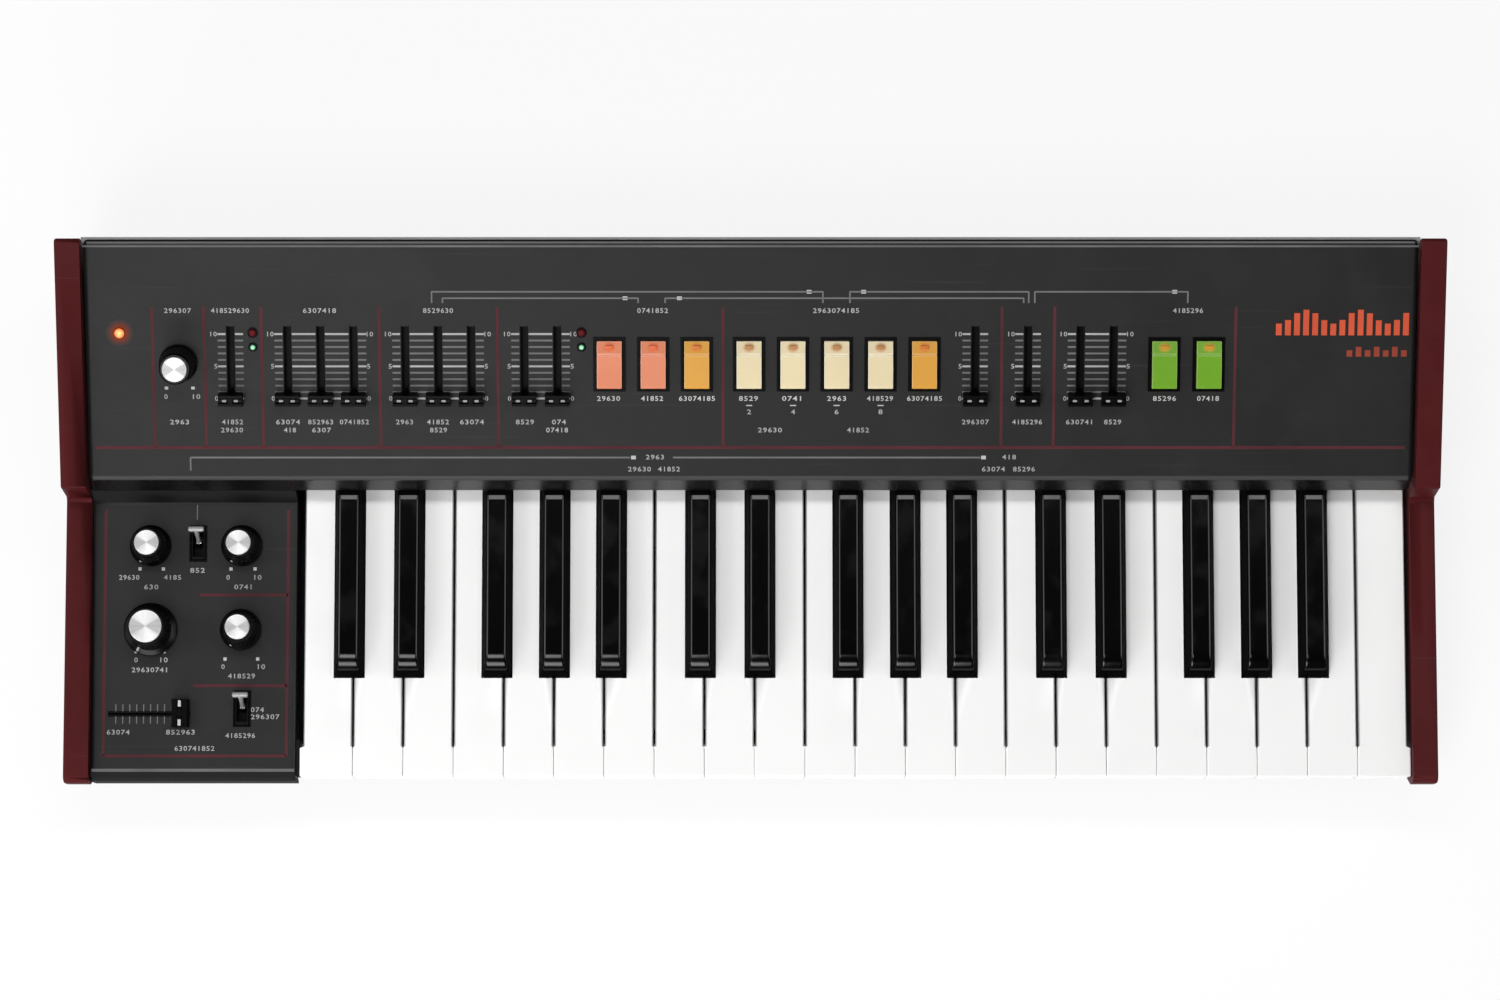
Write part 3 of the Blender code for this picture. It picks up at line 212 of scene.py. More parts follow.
def surface_group():
    """A used surface: fine grain, broad mottling, finger smudges, hairline scratches and dust."""
    group, given, result = new_group(
        "used_surface",
        [("Color", "Color"), ("Roughness", "Float"), ("Grain Scale", "Float"), ("Grain", "Float"),
         ("Mottle", "Float"), ("Smudges", "Float"), ("Scratches", "Float"), ("Dust", "Float")],
        [("Color", "Color"), ("Roughness", "Float"), ("Normal", "Vector")],
    )
    nodes = group.nodes
    link = group.links.new
    place = nodes.new("ShaderNodeTexCoord").outputs["Object"]

    broad = spread(nodes, link, noise(nodes, link, place, 24.0, 5.0), 0.3, 0.7, -1.0, 1.0)
    shade = reckon(nodes, link, "MULTIPLY_ADD", broad, given.outputs["Mottle"], 1.0)
    tint = nodes.new("ShaderNodeHueSaturation")
    link(shade, tint.inputs["Value"])
    link(given.outputs["Color"], tint.inputs["Color"])

    smudge = spread(nodes, link, noise(nodes, link, place, 62.0, 2.0), 0.50, 0.66)
    smudge = reckon(nodes, link, "MULTIPLY", smudge, given.outputs["Smudges"])

    stretch = nodes.new("ShaderNodeMapping")
    stretch.inputs["Rotation"].default_value = (0.3, 0.2, 0.6)
    stretch.inputs["Scale"].default_value = (12.0, 700.0, 700.0)
    link(place, stretch.inputs["Vector"])
    hairs = noise(nodes, link, stretch.outputs["Vector"], 1.0, 1.0)
    scratch = spread(nodes, link, hairs, 0.70, 0.76)
    scratch = reckon(nodes, link, "MULTIPLY", scratch, given.outputs["Scratches"])

    specks = nodes.new("ShaderNodeTexVoronoi")
    specks.inputs["Scale"].default_value = 260.0
    link(place, specks.inputs["Vector"])
    dust = spread(nodes, link, specks.outputs["Distance"], 0.07, 0.03)
    dust = reckon(nodes, link, "MULTIPLY", dust, given.outputs["Dust"])

    pale = reckon(nodes, link, "MULTIPLY_ADD", smudge, 0.006, dust)
    pale = reckon(nodes, link, "MULTIPLY_ADD", scratch, 0.05, pale)
    link(blend(nodes, link, pale, tint.outputs["Color"], (0.55, 0.54, 0.52)), result.inputs["Color"])

    rough = reckon(nodes, link, "MULTIPLY", given.outputs["Roughness"], shade)
    rough = reckon(nodes, link, "MULTIPLY_ADD", smudge, 0.14, rough)
    rough = reckon(nodes, link, "MULTIPLY_ADD", dust, 0.4, rough)
    link(rough, result.inputs["Roughness"])

    grain = nodes.new("ShaderNodeTexNoise")
    link(place, grain.inputs["Vector"])
    link(given.outputs["Grain Scale"], grain.inputs["Scale"])
    height = reckon(nodes, link, "MULTIPLY_ADD", scratch, -0.5, grain.outputs["Fac"])
    bump = nodes.new("ShaderNodeBump")
    bump.inputs["Distance"].default_value = 0.0002
    link(given.outputs["Grain"], bump.inputs["Strength"])
    link(height, bump.inputs["Height"])
    link(bump.outputs["Normal"], result.inputs["Normal"])
    return group


USED_SURFACE = surface_group()


def finish(name, colour, roughness, specular=0.5, metallic=0.0, coat=0.0, **wear):
    """A Principled material over the used surface; wear gives the group's other values."""
    material = bpy.data.materials.new(name)
    material.use_nodes = True
    nodes = material.node_tree.nodes
    link = material.node_tree.links.new
    shader = nodes["Principled BSDF"]
    used = nodes.new("ShaderNodeGroup")
    used.node_tree = USED_SURFACE
    used.name = "used surface"
    values = {"grain_scale": 1800.0, "grain": 0.2, "mottle": 0.05}
    values.update(wear)
    used.inputs["Color"].default_value = (*colour, 1)
    used.inputs["Roughness"].default_value = roughness
    for title, value in values.items():
        used.inputs[title.replace("_", " ").title()].default_value = value
    link(used.outputs["Color"], shader.inputs["Base Color"])
    link(used.outputs["Roughness"], shader.inputs["Roughness"])
    link(used.outputs["Normal"], shader.inputs["Normal"])
    shader.inputs["Specular IOR Level"].default_value = specular
    shader.inputs["Metallic"].default_value = metallic
    shader.inputs["Coat Weight"].default_value = coat
    shader.inputs["Coat Roughness"].default_value = 0.15
    return material


def board_finish():
    """Solder mask with fine tracks, and black moulded parts where they stand above the board."""
    material = finish("circuit_board", (0.012, 0.075, 0.032), 0.45, 0.08, mottle=0.08)
    nodes = material.node_tree.nodes
    link = material.node_tree.links.new
    place = nodes.new("ShaderNodeTexCoord").outputs["Object"]
    split = nodes.new("ShaderNodeSeparateXYZ")
    link(place, split.inputs["Vector"])
    depth = nodes.new("ShaderNodeVectorMath")
    depth.operation = "DOT_PRODUCT"
    depth.inputs[1].default_value = (0, -math.sin(PANEL_SLOPE), math.cos(PANEL_SLOPE))
    link(place, depth.inputs[0])
    panel_zero = (74.0 * math.cos(PANEL_SLOPE) - 15.7 * math.sin(PANEL_SLOPE)) * MM
    above_panel_board = reckon(
        nodes, link, "GREATER_THAN", depth.outputs["Value"], panel_zero - 12.1 * MM
    )
    above_plate_board = reckon(nodes, link, "GREATER_THAN", split.outputs["Z"], 36.3 * MM)
    under_panel = reckon(nodes, link, "GREATER_THAN", split.outputs["Y"], 4.0 * MM)
    parts = nodes.new("ShaderNodeMix")
    link(under_panel, parts.inputs["Factor"])
    link(above_plate_board, parts.inputs[2])
    link(above_panel_board, parts.inputs[3])
    tracks = nodes.new("ShaderNodeTexBrick")
    tracks.inputs["Scale"].default_value = 120.0
    tracks.inputs["Mortar Size"].default_value = 0.04
    tracks.inputs["Color1"].default_value = (0, 0, 0, 1)
    tracks.inputs["Color2"].default_value = (0, 0, 0, 1)
    tracks.inputs["Mortar"].default_value = (1, 1, 1, 1)
    link(place, tracks.inputs["Vector"])
    mask = nodes["used surface"].outputs["Color"]
    etched = blend(nodes, link, tracks.outputs["Fac"], mask, (0.03, 0.16, 0.06))
    colour = blend(nodes, link, parts.outputs[0], etched, (0.0015, 0.0015, 0.0015))
    link(colour, nodes["Principled BSDF"].inputs["Base Color"])
    return material


def spun_group():
    """Turned metal on a planar map: fine rings, and a bow tie of painted highlight sectors between
    dull ones.
    """
    group, given, result = new_group(
        "spun_face",
        [("Bright", "Color"), ("Dull", "Color")],
        [("Color", "Color"), ("Roughness", "Float"), ("Normal", "Vector")],
    )
    nodes = group.nodes
    link = group.links.new
    chart = nodes.new("ShaderNodeUVMap")
    chart.uv_map = "planar"
    split = nodes.new("ShaderNodeSeparateXYZ")
    link(chart.outputs["UV"], split.inputs["Vector"])
    length = nodes.new("ShaderNodeVectorMath")
    length.operation = "LENGTH"
    link(chart.outputs["UV"], length.inputs[0])
    angle = reckon(nodes, link, "ARCTAN2", split.outputs["X"], split.outputs["Y"])
    rings = nodes.new("ShaderNodeTexNoise")
    rings.noise_dimensions = "1D"
    rings.inputs["Detail"].default_value = 4.0
    rings.inputs["Scale"].default_value = 34.0
    link(length.outputs["Value"], rings.inputs["W"])
    # The bow tie is a painted highlight, bright along the map's Y and dull along its X
    twice = reckon(nodes, link, "MULTIPLY", angle, 2.0)
    painted_bow_tie = spread(nodes, link, reckon(nodes, link, "COSINE", twice), -1.0, 0.30)
    ripple = reckon(nodes, link, "COSINE", reckon(nodes, link, "MULTIPLY", angle, 14.0))
    painted_bow_tie = reckon(nodes, link, "MULTIPLY_ADD", ripple, 0.10, painted_bow_tie)
    link(
        blend(nodes, link, painted_bow_tie, given.outputs["Dull"], given.outputs["Bright"]),
        result.inputs["Color"],
    )
    link(spread(nodes, link, rings.outputs["Fac"], 0.2, 0.8, 0.32, 0.52), result.inputs["Roughness"])
    bump = nodes.new("ShaderNodeBump")
    bump.inputs["Strength"].default_value = 0.25
    bump.inputs["Distance"].default_value = 0.0001
    link(rings.outputs["Fac"], bump.inputs["Height"])
    link(bump.outputs["Normal"], result.inputs["Normal"])
    return group


def spun_finish():
    material = bpy.data.materials.new("spun_aluminium")
    material.use_nodes = True
    nodes = material.node_tree.nodes
    link = material.node_tree.links.new
    shader = nodes["Principled BSDF"]
    face = nodes.new("ShaderNodeGroup")
    face.node_tree = spun_group()
    face.inputs["Bright"].default_value = (0.66, 0.66, 0.66, 1)
    face.inputs["Dull"].default_value = (0.34, 0.34, 0.34, 1)
    link(face.outputs["Color"], shader.inputs["Base Color"])
    link(face.outputs["Roughness"], shader.inputs["Roughness"])
    link(face.outputs["Normal"], shader.inputs["Normal"])
    shader.inputs["Metallic"].default_value = 0.4
    shader.inputs["Anisotropic"].default_value = 0.7
    return material


def radial_mask(nodes, link, start, end):
    """One at the middle of the piece's planar map and nought at its reach, with soft shoulders."""
    chart = nodes.new("ShaderNodeUVMap")
    chart.uv_map = "planar"
    length = nodes.new("ShaderNodeVectorMath")
    length.operation = "LENGTH"
    link(chart.outputs["UV"], length.inputs[0])
    return spread(nodes, link, length.outputs["Value"], start, end, 1.0, 0.0)


def tab_finish(name, colour, painted_glow_colour):
    """Translucent plastic with the glow of its hidden lamp painted into the colour of the rear slope.
    """
    material = finish(
        name, colour, 0.36, 0.3, grain_scale=1500.0, mottle=0.04, smudges=0.5, scratches=0.3
    )
    nodes = material.node_tree.nodes
    link = material.node_tree.links.new
    mask = radial_mask(nodes, link, 0.25, 1.0)
    tinted = blend(nodes, link, mask, nodes["used surface"].outputs["Color"], painted_glow_colour)
    link(tinted, nodes["Principled BSDF"].inputs["Base Color"])
    return material


def glow_finish(name, base, core, edge, strength, start=0.2, roughness=0.3, specular=0.5):
    """A lit lens, or the spill of its light painted as emission on the surface round it: emission from
    a core colour out to an edge colour.
    """
    material = finish(name, base, roughness, specular, grain=0.05)
    nodes = material.node_tree.nodes
    link = material.node_tree.links.new
    mask = radial_mask(nodes, link, start, 1.0)
    link(blend(nodes, link, mask, edge, core), nodes["Principled BSDF"].inputs["Emission Color"])
    nodes["Principled BSDF"].inputs["Emission Strength"].default_value = strength
    return material


def fold_highlight_finish(name, colour, roughness, specular, fold_highlights):
    """Satin paint with painted highlights along its folds: the way each faces, its limits and its
    colour.
    """
    material = finish(
        name, colour, roughness, specular,
        grain_scale=2400.0, grain=0.28, mottle=0.07, smudges=0.3, scratches=0.2, dust=0.03,
    )
    nodes = material.node_tree.nodes
    link = material.node_tree.links.new
    geometry = nodes.new("ShaderNodeNewGeometry")
    paint = nodes["used surface"].outputs["Color"]
    for way, low, high, highlight_colour in fold_highlights:
        facing = nodes.new("ShaderNodeVectorMath")
        facing.operation = "DOT_PRODUCT"
        facing.inputs[1].default_value = way
        link(geometry.outputs["Normal"], facing.inputs[0])
        fold_highlight = spread(nodes, link, facing.outputs["Value"], low, high)
        paint = blend(nodes, link, fold_highlight, paint, highlight_colour)
    link(paint, nodes["Principled BSDF"].inputs["Base Color"])
    return material


CHARCOAL_COLOUR = (0.0100, 0.0103, 0.0101)
# Painted highlights on the panel's front and rear bends, where the normal faces these ways
FRONT_FOLD_HIGHLIGHT = ((0, -0.77, 0.64), 0.93, 0.99, (0.045, 0.045, 0.045))
REAR_FOLD_HIGHLIGHT = ((0, 0.10, 0.995), 0.950, 0.975, (0.110, 0.110, 0.110))
PANEL_CHARCOAL = fold_highlight_finish("panel_paint", CHARCOAL_COLOUR, 0.42, 0.17, (FRONT_FOLD_HIGHLIGHT, REAR_FOLD_HIGHLIGHT))
PLATE_CHARCOAL = fold_highlight_finish("plate_paint", CHARCOAL_COLOUR, 0.42, 0.17, ())
BURGUNDY = finish(
    "burgundy_paint", (0.068, 0.0090, 0.0100), 0.45, 0.04,
    grain_scale=2000.0, grain=0.2, mottle=0.06, smudges=0.3, scratches=0.3, dust=0.03,
)
BLACK_COAT = finish("black_powder_coat", (0.010, 0.010, 0.010), 0.55, 0.3, grain=0.5, mottle=0.08)
KEY_WHITE = finish("key_white", (0.92, 0.92, 0.915), 0.24, 0.4, grain=0.03, mottle=0.006, smudges=0.2)
# A grey copy of the key white for the keys' side walls: painted shade in the gaps between keys
KEY_WHITE_SIDE_SHADE = finish("key_white_side_shade", (0.38, 0.38, 0.38), 0.4, 0.3, grain=0.03, mottle=0.05)
KEY_BLACK = finish("key_black", (0.0006, 0.0006, 0.0006), 0.16, 0.24, grain=0.04, smudges=0.3)
# A darker, glossier copy of the panel paint for the lip's front face: painted shade under the panel's
# front edge
PANEL_LIP_SHADED = finish("panel_lip_shaded", (0.0040, 0.0040, 0.0040), 0.26, 0.5, grain=0.1, smudges=0.3)
PLATE_SHADE = finish("plate_shade", (0.019, 0.019, 0.019), 0.6, 0.02, grain=0.3)
# A paler copy of the plate paint: painted light on the strip that the panel's lip shades
PLATE_REAR_PAINTED_LIGHT = finish("plate_rear_painted_light", (0.085, 0.087, 0.085), 0.5, 0.17, grain=0.3, mottle=0.05)
CHARCOAL_SHADE = finish("charcoal_shade", (0.008, 0.008, 0.008), 0.6, 0.01, grain=0.3)
# Dull black with almost no reflection for the black keys' flanks and rear ends: painted shade beside
# the keys and under the panel's lip
KEY_BLACK_DULL_SHADE = finish("key_black_dull_shade", (0.0015, 0.0015, 0.0015), 0.60, 0.004, grain=0.4)
KNOB_BLACK = finish("knob_black", (0.0012, 0.0012, 0.0012), 0.30, 0.14, grain=0.1, dust=0.01)
CAP_BLACK = finish("cap_black", (0.0010, 0.0010, 0.0010), 0.34, 0.05, grain=0.1, dust=0.01)
PLATED = finish("plated_steel", (0.62, 0.62, 0.61), 0.30, metallic=1.0, grain=0.1, scratches=0.6)
BRIGHT_METAL = finish("bright_metal", (0.80, 0.80, 0.79), 0.34, metallic=0.75, grain=0.05)
# A darker copy of the lever's metal for its tip: painted shade
TIP_METAL_SHADED = finish("toggle_tip", (0.34, 0.34, 0.335), 0.5, metallic=0.5, grain=0.1)
SCREW_BLACK = finish("blackened_steel", (0.035, 0.035, 0.036), 0.38, metallic=0.8, grain=0.15)
BOARD = board_finish()
GREY = finish("moulded_grey", (0.20, 0.20, 0.21), 0.55, grain=0.3, mottle=0.06)
SOCKET = finish("socket_black", (0.008, 0.008, 0.008), 0.45, grain=0.3)
RUBBER = finish("foot_rubber", (0.012, 0.012, 0.012), 0.85, 0.3, grain=0.6, mottle=0.10, dust=0.3)
SPUN = spun_finish()
PRINT_WHITE = finish("print_white", (0.50, 0.50, 0.49), 0.6, 0.2, mottle=0.12)
PRINT_SOFT = finish("print_soft_white", (0.37, 0.37, 0.365), 0.6, 0.2, mottle=0.12)
PRINT_GREY = finish("print_grey", (0.135, 0.138, 0.136), 0.6, 0.2, mottle=0.12)
PRINT_RED = finish("print_red", (0.080, 0.022, 0.028), 0.6, 0.05, mottle=0.14)
PRINT_ORANGE = finish("print_orange", (0.56, 0.075, 0.026), 0.6, 0.2, mottle=0.12)
PRINT_RUST = finish("print_rust", (0.24, 0.034, 0.016), 0.6, 0.2, mottle=0.12)
CAP_MARK = finish("print_cap_mark", (0.32, 0.32, 0.315), 0.6, 0.1, mottle=0.12)
# A pale grey ink: a painted highlight along the panel's rear bend and the plate's front bend
PAINTED_EDGE_HIGHLIGHT = finish("painted_edge_highlight", (0.115, 0.118, 0.115), 0.5, 0.15, grain=0.3, mottle=0.2)
REAR_STRIP = finish("rear_strip", (0.33, 0.33, 0.33), 0.5, 0.2, grain=0.2, mottle=0.1)
PRINT_BLACK = finish("print_black", (0.0015, 0.0015, 0.0015), 0.6, 0.05)

SLOT_FINISHES = {
    "black_steel": BLACK_COAT,
    "board_green": BOARD,
    "frame_grey": GREY,
    "socket_black": SOCKET,
    "foot_rubber": RUBBER,
}


# Modelling helpers


def focus(piece):
    bpy.ops.object.select_all(action="DESELECT")
    piece.select_set(True)
    bpy.context.view_layer.objects.active = piece


def added(name):
    """The primitive just added, named and with its size and place in its mesh."""
    piece = bpy.context.active_object
    piece.name = name
    bpy.ops.object.transform_apply(location=True, rotation=True, scale=True)
    return piece


def block(name, low, high):
    low, high = Vector(low), Vector(high)
    bpy.ops.object.select_all(action="DESELECT")
    bpy.ops.mesh.primitive_cube_add(size=1.0, location=(low + high) / 2, scale=high - low)
    return added(name)


def rod(name, radius, bottom, top, sides=32):
    bpy.ops.object.select_all(action="DESELECT")
    bpy.ops.mesh.primitive_cylinder_add(
        vertices=sides, radius=radius, depth=top - bottom, location=(0, 0, (top + bottom) / 2)
    )
    return added(name)


def edit(kind):
    """Edit mode in that select mode, with nothing selected."""
    bpy.ops.object.mode_set(mode="EDIT")
    bpy.ops.mesh.select_mode(type=kind)
    bpy.ops.mesh.select_all(action="DESELECT")


def leave_edit():
    bpy.ops.object.mode_set(mode="OBJECT")


def pick_faces(piece, test):
    """Edit mode, with only the faces whose centre and normal pass the test selected."""
    edit("FACE")
    leave_edit()
    for face in piece.data.polygons:
        face.select = test(face.center, face.normal)
    bpy.ops.object.mode_set(mode="EDIT")


def pick_edges(piece, test):
    """Edit mode, with only the edges whose two ends pass the test selected."""
    edit("EDGE")
    leave_edit()
    points = piece.data.vertices
    for side in piece.data.edges:
        side.select = test(points[side.vertices[0]].co, points[side.vertices[1]].co)
    bpy.ops.object.mode_set(mode="EDIT")


def raise_faces(move, narrow=(1, 1, 1), centre=(0, 0, 0)):
    """Extrudes the selected faces by the move and then narrows them about the centre."""
    bpy.ops.mesh.extrude_region_move(TRANSFORM_OT_translate={"value": move})
    bpy.ops.transform.resize(value=narrow, center_override=centre)


def turned(name, rings, sides=48):
    """A turned shape: a disc of the first (radius, height) ring drawn up through the others."""
    radius, height = rings[0]
    bpy.ops.object.select_all(action="DESELECT")
    bpy.ops.mesh.primitive_circle_add(
        vertices=sides, radius=radius, fill_type="NGON", location=(0, 0, height)
    )
    piece = added(name)
    bpy.ops.object.mode_set(mode="EDIT")
    bpy.ops.mesh.select_mode(type="FACE")
    bpy.ops.mesh.select_all(action="SELECT")
    for next_radius, next_height in rings[1:]:
        share = next_radius / radius
        raise_faces((0, 0, next_height - height), (share, share, 1))
        radius, height = next_radius, next_height
    leave_edit()
    return piece


def traced(name, outline, half_width):
    """A prism along X: a point is extruded along the (y, z) outline, filled and drawn out."""
    bpy.ops.object.select_all(action="DESELECT")
    bpy.ops.mesh.primitive_plane_add(size=1.0)
    piece = added(name)
    bpy.ops.object.mode_set(mode="EDIT")
    bpy.ops.mesh.select_mode(type="VERT")
    bpy.ops.mesh.select_all(action="SELECT")
    bpy.ops.mesh.merge(type="CENTER")
    spot = Vector((-half_width, *outline[0]))
    bpy.ops.transform.translate(value=spot)
    for point in outline[1:]:
        step = Vector((-half_width, *point)) - spot
        bpy.ops.mesh.extrude_vertices_move(TRANSFORM_OT_translate={"value": step})
        spot += step
    bpy.ops.mesh.select_all(action="SELECT")
    bpy.ops.mesh.edge_face_add()
    bpy.ops.mesh.extrude_region_move(TRANSFORM_OT_translate={"value": (2 * half_width, 0, 0)})
    leave_edit()
    return piece


def outwards(piece):
    """Merges doubled points and turns every face outwards."""
    focus(piece)
    bpy.ops.object.mode_set(mode="EDIT")
    bpy.ops.mesh.select_all(action="SELECT")
    bpy.ops.mesh.remove_doubles(threshold=0.002)
    bpy.ops.mesh.normals_make_consistent(inside=False)
    leave_edit()


def rounded(piece, width, segments=2, angle=40.0, rim=-1):
    """Rounds the sharp edges; rim is the material slot that the new faces take."""
    outwards(piece)
    for _ in range(rim + 1):
        piece.data.materials.append(None)
    edges = piece.modifiers.new("edges", "BEVEL")
    edges.width = width
    edges.segments = segments
    edges.limit_method = "ANGLE"
    edges.angle_limit = math.radians(angle)
    edges.material = rim
    bpy.ops.object.modifier_apply(modifier=edges.name)
    return piece


def bored(piece, tool):
    """Cuts the tool out of the piece and deletes the tool."""
    outwards(piece)
    outwards(tool)
    focus(piece)
    bore = piece.modifiers.new("bore", "BOOLEAN")
    bore.operation = "DIFFERENCE"
    bore.solver = "EXACT"
    bore.object = tool
    bpy.ops.object.modifier_apply(modifier=bore.name)
    bpy.data.objects.remove(tool)
    return piece


def joined(name, pieces):
    """Joins the pieces into one mesh."""
    focus(pieces[0])
    for piece in pieces[1:]:
        piece.select_set(True)
    bpy.ops.object.join()
    pieces[0].name = name
    return pieces[0]


def copied(piece, name, place):
    """A copy with its own mesh, moved by the matrix."""
    twin = piece.copy()
    twin.data = piece.data.copy()
    twin.name = name
    twin.data.transform(place)
    bpy.context.scene.collection.objects.link(twin)
    return twin


def planar_map(piece, centre, reach):
    """The piece's own map: how far its points lie from the centre, as shares of the reach."""
    chart = piece.data.uv_layers.new(name="planar")
    for loop in piece.data.loops:
        spot = piece.data.vertices[loop.vertex_index].co
        chart.data[loop.index].uv = (
            (spot.x - centre[0]) / reach[0],
            (spot.y - centre[1]) / reach[1],
        )


def flattened(piece):
    """Keeps the flats flat where they meet smoothly shaded rounds."""
    flats = piece.modifiers.new("flats", "WEIGHTED_NORMAL")
    flats.keep_sharp = True
    bpy.ops.object.modifier_apply(modifier=flats.name)


def settle(piece, place, finishes, body, stands_for=None):
    """Shades the piece, puts its place into its mesh, hands it to its body and hides the CAD node it
    stands for.
    """
    outwards(piece)
    bpy.ops.object.shade_smooth_by_angle(angle=SMOOTH_ANGLE)
    piece.data.transform(place)
    flattened(piece)
    if not isinstance(finishes, tuple):
        finishes = (finishes,)
    parts = [face.material_index for face in piece.data.polygons]
    piece.data.materials.clear()
    for material in finishes:
        piece.data.materials.append(material)
    for face, part in zip(piece.data.polygons, parts):
        face.material_index = min(part, len(finishes) - 1)
    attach(piece, body)
    if stands_for:
        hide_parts(stands_for)
    return piece


# The case: the CAD nodes with their finishes, and smoothed copies of those that show most


def dress_nodes():
    slots = {row["node"]: row["material_slot"] for row in frame["record"]["subparts"]}
    for name, node in NODES.items():
        material = SLOT_FINISHES.get(slots[name])
        if material:
            node.data.materials.clear()
            node.data.materials.append(material)


def smoothed_copy(node, body, material, reshape=None):
    """A merged copy of a CAD node whose bends shade smoothly while its flats stay flat."""
    piece = bpy.data.objects.new(f"{node}_skin", NODES[node].data.copy())
    bpy.context.scene.collection.objects.link(piece)
    focus(piece)
    bpy.ops.object.mode_set(mode="EDIT")
    bpy.ops.mesh.select_all(action="SELECT")
    bpy.ops.mesh.remove_doubles(threshold=0.000002)
    leave_edit()
    if reshape:
        reshape(piece)
    bpy.ops.object.shade_smooth_by_angle(angle=SMOOTH_ANGLE)
    flattened(piece)
    piece.data.materials.clear()
    piece.data.materials.append(material)
    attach(piece, body)
    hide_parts(node)
    return piece


FRONT_ADDED = 2.1 * MM
FRONT_ENDS = {"left_cheek": -118.5 * MM, "right_cheek": -118.5 * MM, "control_plate": -119.5 * MM}
KEY_LIP_END = -107.6 * MM
LIP_STEP = 0.8 * MM
WHITE_KEY_HALF = 11.25 * MM
LIP_ADDED = 0.42 * MM
END_LIP_ADDED = 1.8 * MM


def longer_front(node):
    """Moves the front end of a cheek or of the plate forward, as far as the photo shows it."""
    def reshape(piece):
        pick_faces(piece, lambda c, n: c.y < FRONT_ENDS[node])
        bpy.ops.transform.translate(value=(0, -FRONT_ADDED, 0))
        leave_edit()

    return reshape


def wider_lip(middle, left_added, right_added):
    """Cuts a white key behind its lip and widens the lip until it nearly meets its neighbours."""
    def reshape(piece):
        focus(piece)
        bpy.ops.object.mode_set(mode="EDIT")
        for plane in (KEY_LIP_END, KEY_LIP_END - LIP_STEP):
            bpy.ops.mesh.select_all(action="SELECT")
            bpy.ops.mesh.bisect(plane_co=(0, plane, 0), plane_no=(0, 1, 0))
        leave_edit()
        pick_faces(piece, lambda c, n: c.y < KEY_LIP_END - LIP_STEP)
        share = (left_added + right_added) / (2 * WHITE_KEY_HALF)
        still = middle + WHITE_KEY_HALF - right_added / share
        bpy.ops.transform.resize(value=(1 + share, 1, 1), center_override=(still, 0, 0))
        leave_edit()

    return reshape


def case_skins():
    for node, material in (
        ("top_panel", PANEL_CHARCOAL), ("control_plate", PLATE_CHARCOAL),
        ("left_cheek", BURGUNDY), ("right_cheek", BURGUNDY),
    ):
        reshape = longer_front(node) if node in FRONT_ENDS else None
        skin = smoothed_copy(node, "case", material, reshape)
        if material is not BURGUNDY:
            skin.data.materials.append(CHARCOAL_SHADE if node == "top_panel" else PLATE_SHADE)
            skin.data.materials.append(PANEL_LIP_SHADED)
            for face in skin.data.polygons:
                face.material_index = 0
                if node == "control_plate" and face.normal.y < -0.15:
                    face.material_index = 1
                if node == "top_panel" and face.normal.y > 0.35:
                    face.material_index = 1
                # The lip's front face takes the darker copy, as painted shade
                if node == "top_panel" and face.normal.y < -0.9:
                    face.material_index = 2
    for i in range(1, 23):
        middle = (KEYS_LEFT + (i - 1) * WHITE_PITCH) * MM + WHITE_KEY_HALF
        left_added = END_LIP_ADDED if i == 1 else LIP_ADDED
        right_added = END_LIP_ADDED if i == 22 else LIP_ADDED
        reshape = wider_lip(middle, left_added, right_added)
        key = smoothed_copy(f"white_key_{i:02d}", f"white_key_{i:02d}", KEY_WHITE, reshape)
        key.data.materials.append(KEY_WHITE_SIDE_SHADE)
        # Side walls behind the lip take the grey copy, as painted shade between the keys
        for face in key.data.polygons:
            side = abs(face.normal.x) > 0.3 and face.center.y > KEY_LIP_END
            face.material_index = 1 if side else 0


def case_strips():
    """A pale grey strip behind the panel; dark bars in painted shade that close the plate's front
    corner and side; and a strip that closes the plate's rear, with painted light where the panel's lip
    shades it.
    """
    pale_strip = rounded(block("rear_pale_strip", (-309.3, 122.2, 103.0), (309.3, 124.4, 105.3)), 0.3)
    settle(pale_strip, CASE, REAR_STRIP, "case")
    bar = rounded(block("plate_front_bar", (-309.4, -123.8, 31.0), (-213.0, -117.5, 47.0)), 0.5)
    side = rounded(block("plate_side_bar", (-213.1, -121.2, 31.0), (-211.4, -104.0, 46.0)), 0.3)
    settle(joined("plate_bars", [bar, side]), CASE, PLATE_SHADE, "case")
    strip = rounded(block("plate_rear_strip", (-308.2, 2.0, -0.9), (-213.0, 12.0, -0.05)), 0.2)
    settle(strip, PLATE, PLATE_REAR_PAINTED_LIGHT, "case")


# Black keys, in millimetres from the middle of each key

WHITE_PITCH = 23.5
KEYS_LEFT = -209.1
BLACK_OFFSETS = {0: -1.9, 1: 2.5, 3: -3.2, 4: 0.2, 5: 3.3}


def black_key_places():
    """The middle of each black key, from the gaps between white keys that have one."""
    return [
        KEYS_LEFT + (gap + 1) * WHITE_PITCH - 0.5 + BLACK_OFFSETS[gap % 7]
        for gap in range(21)
        if gap % 7 in BLACK_OFFSETS
    ]


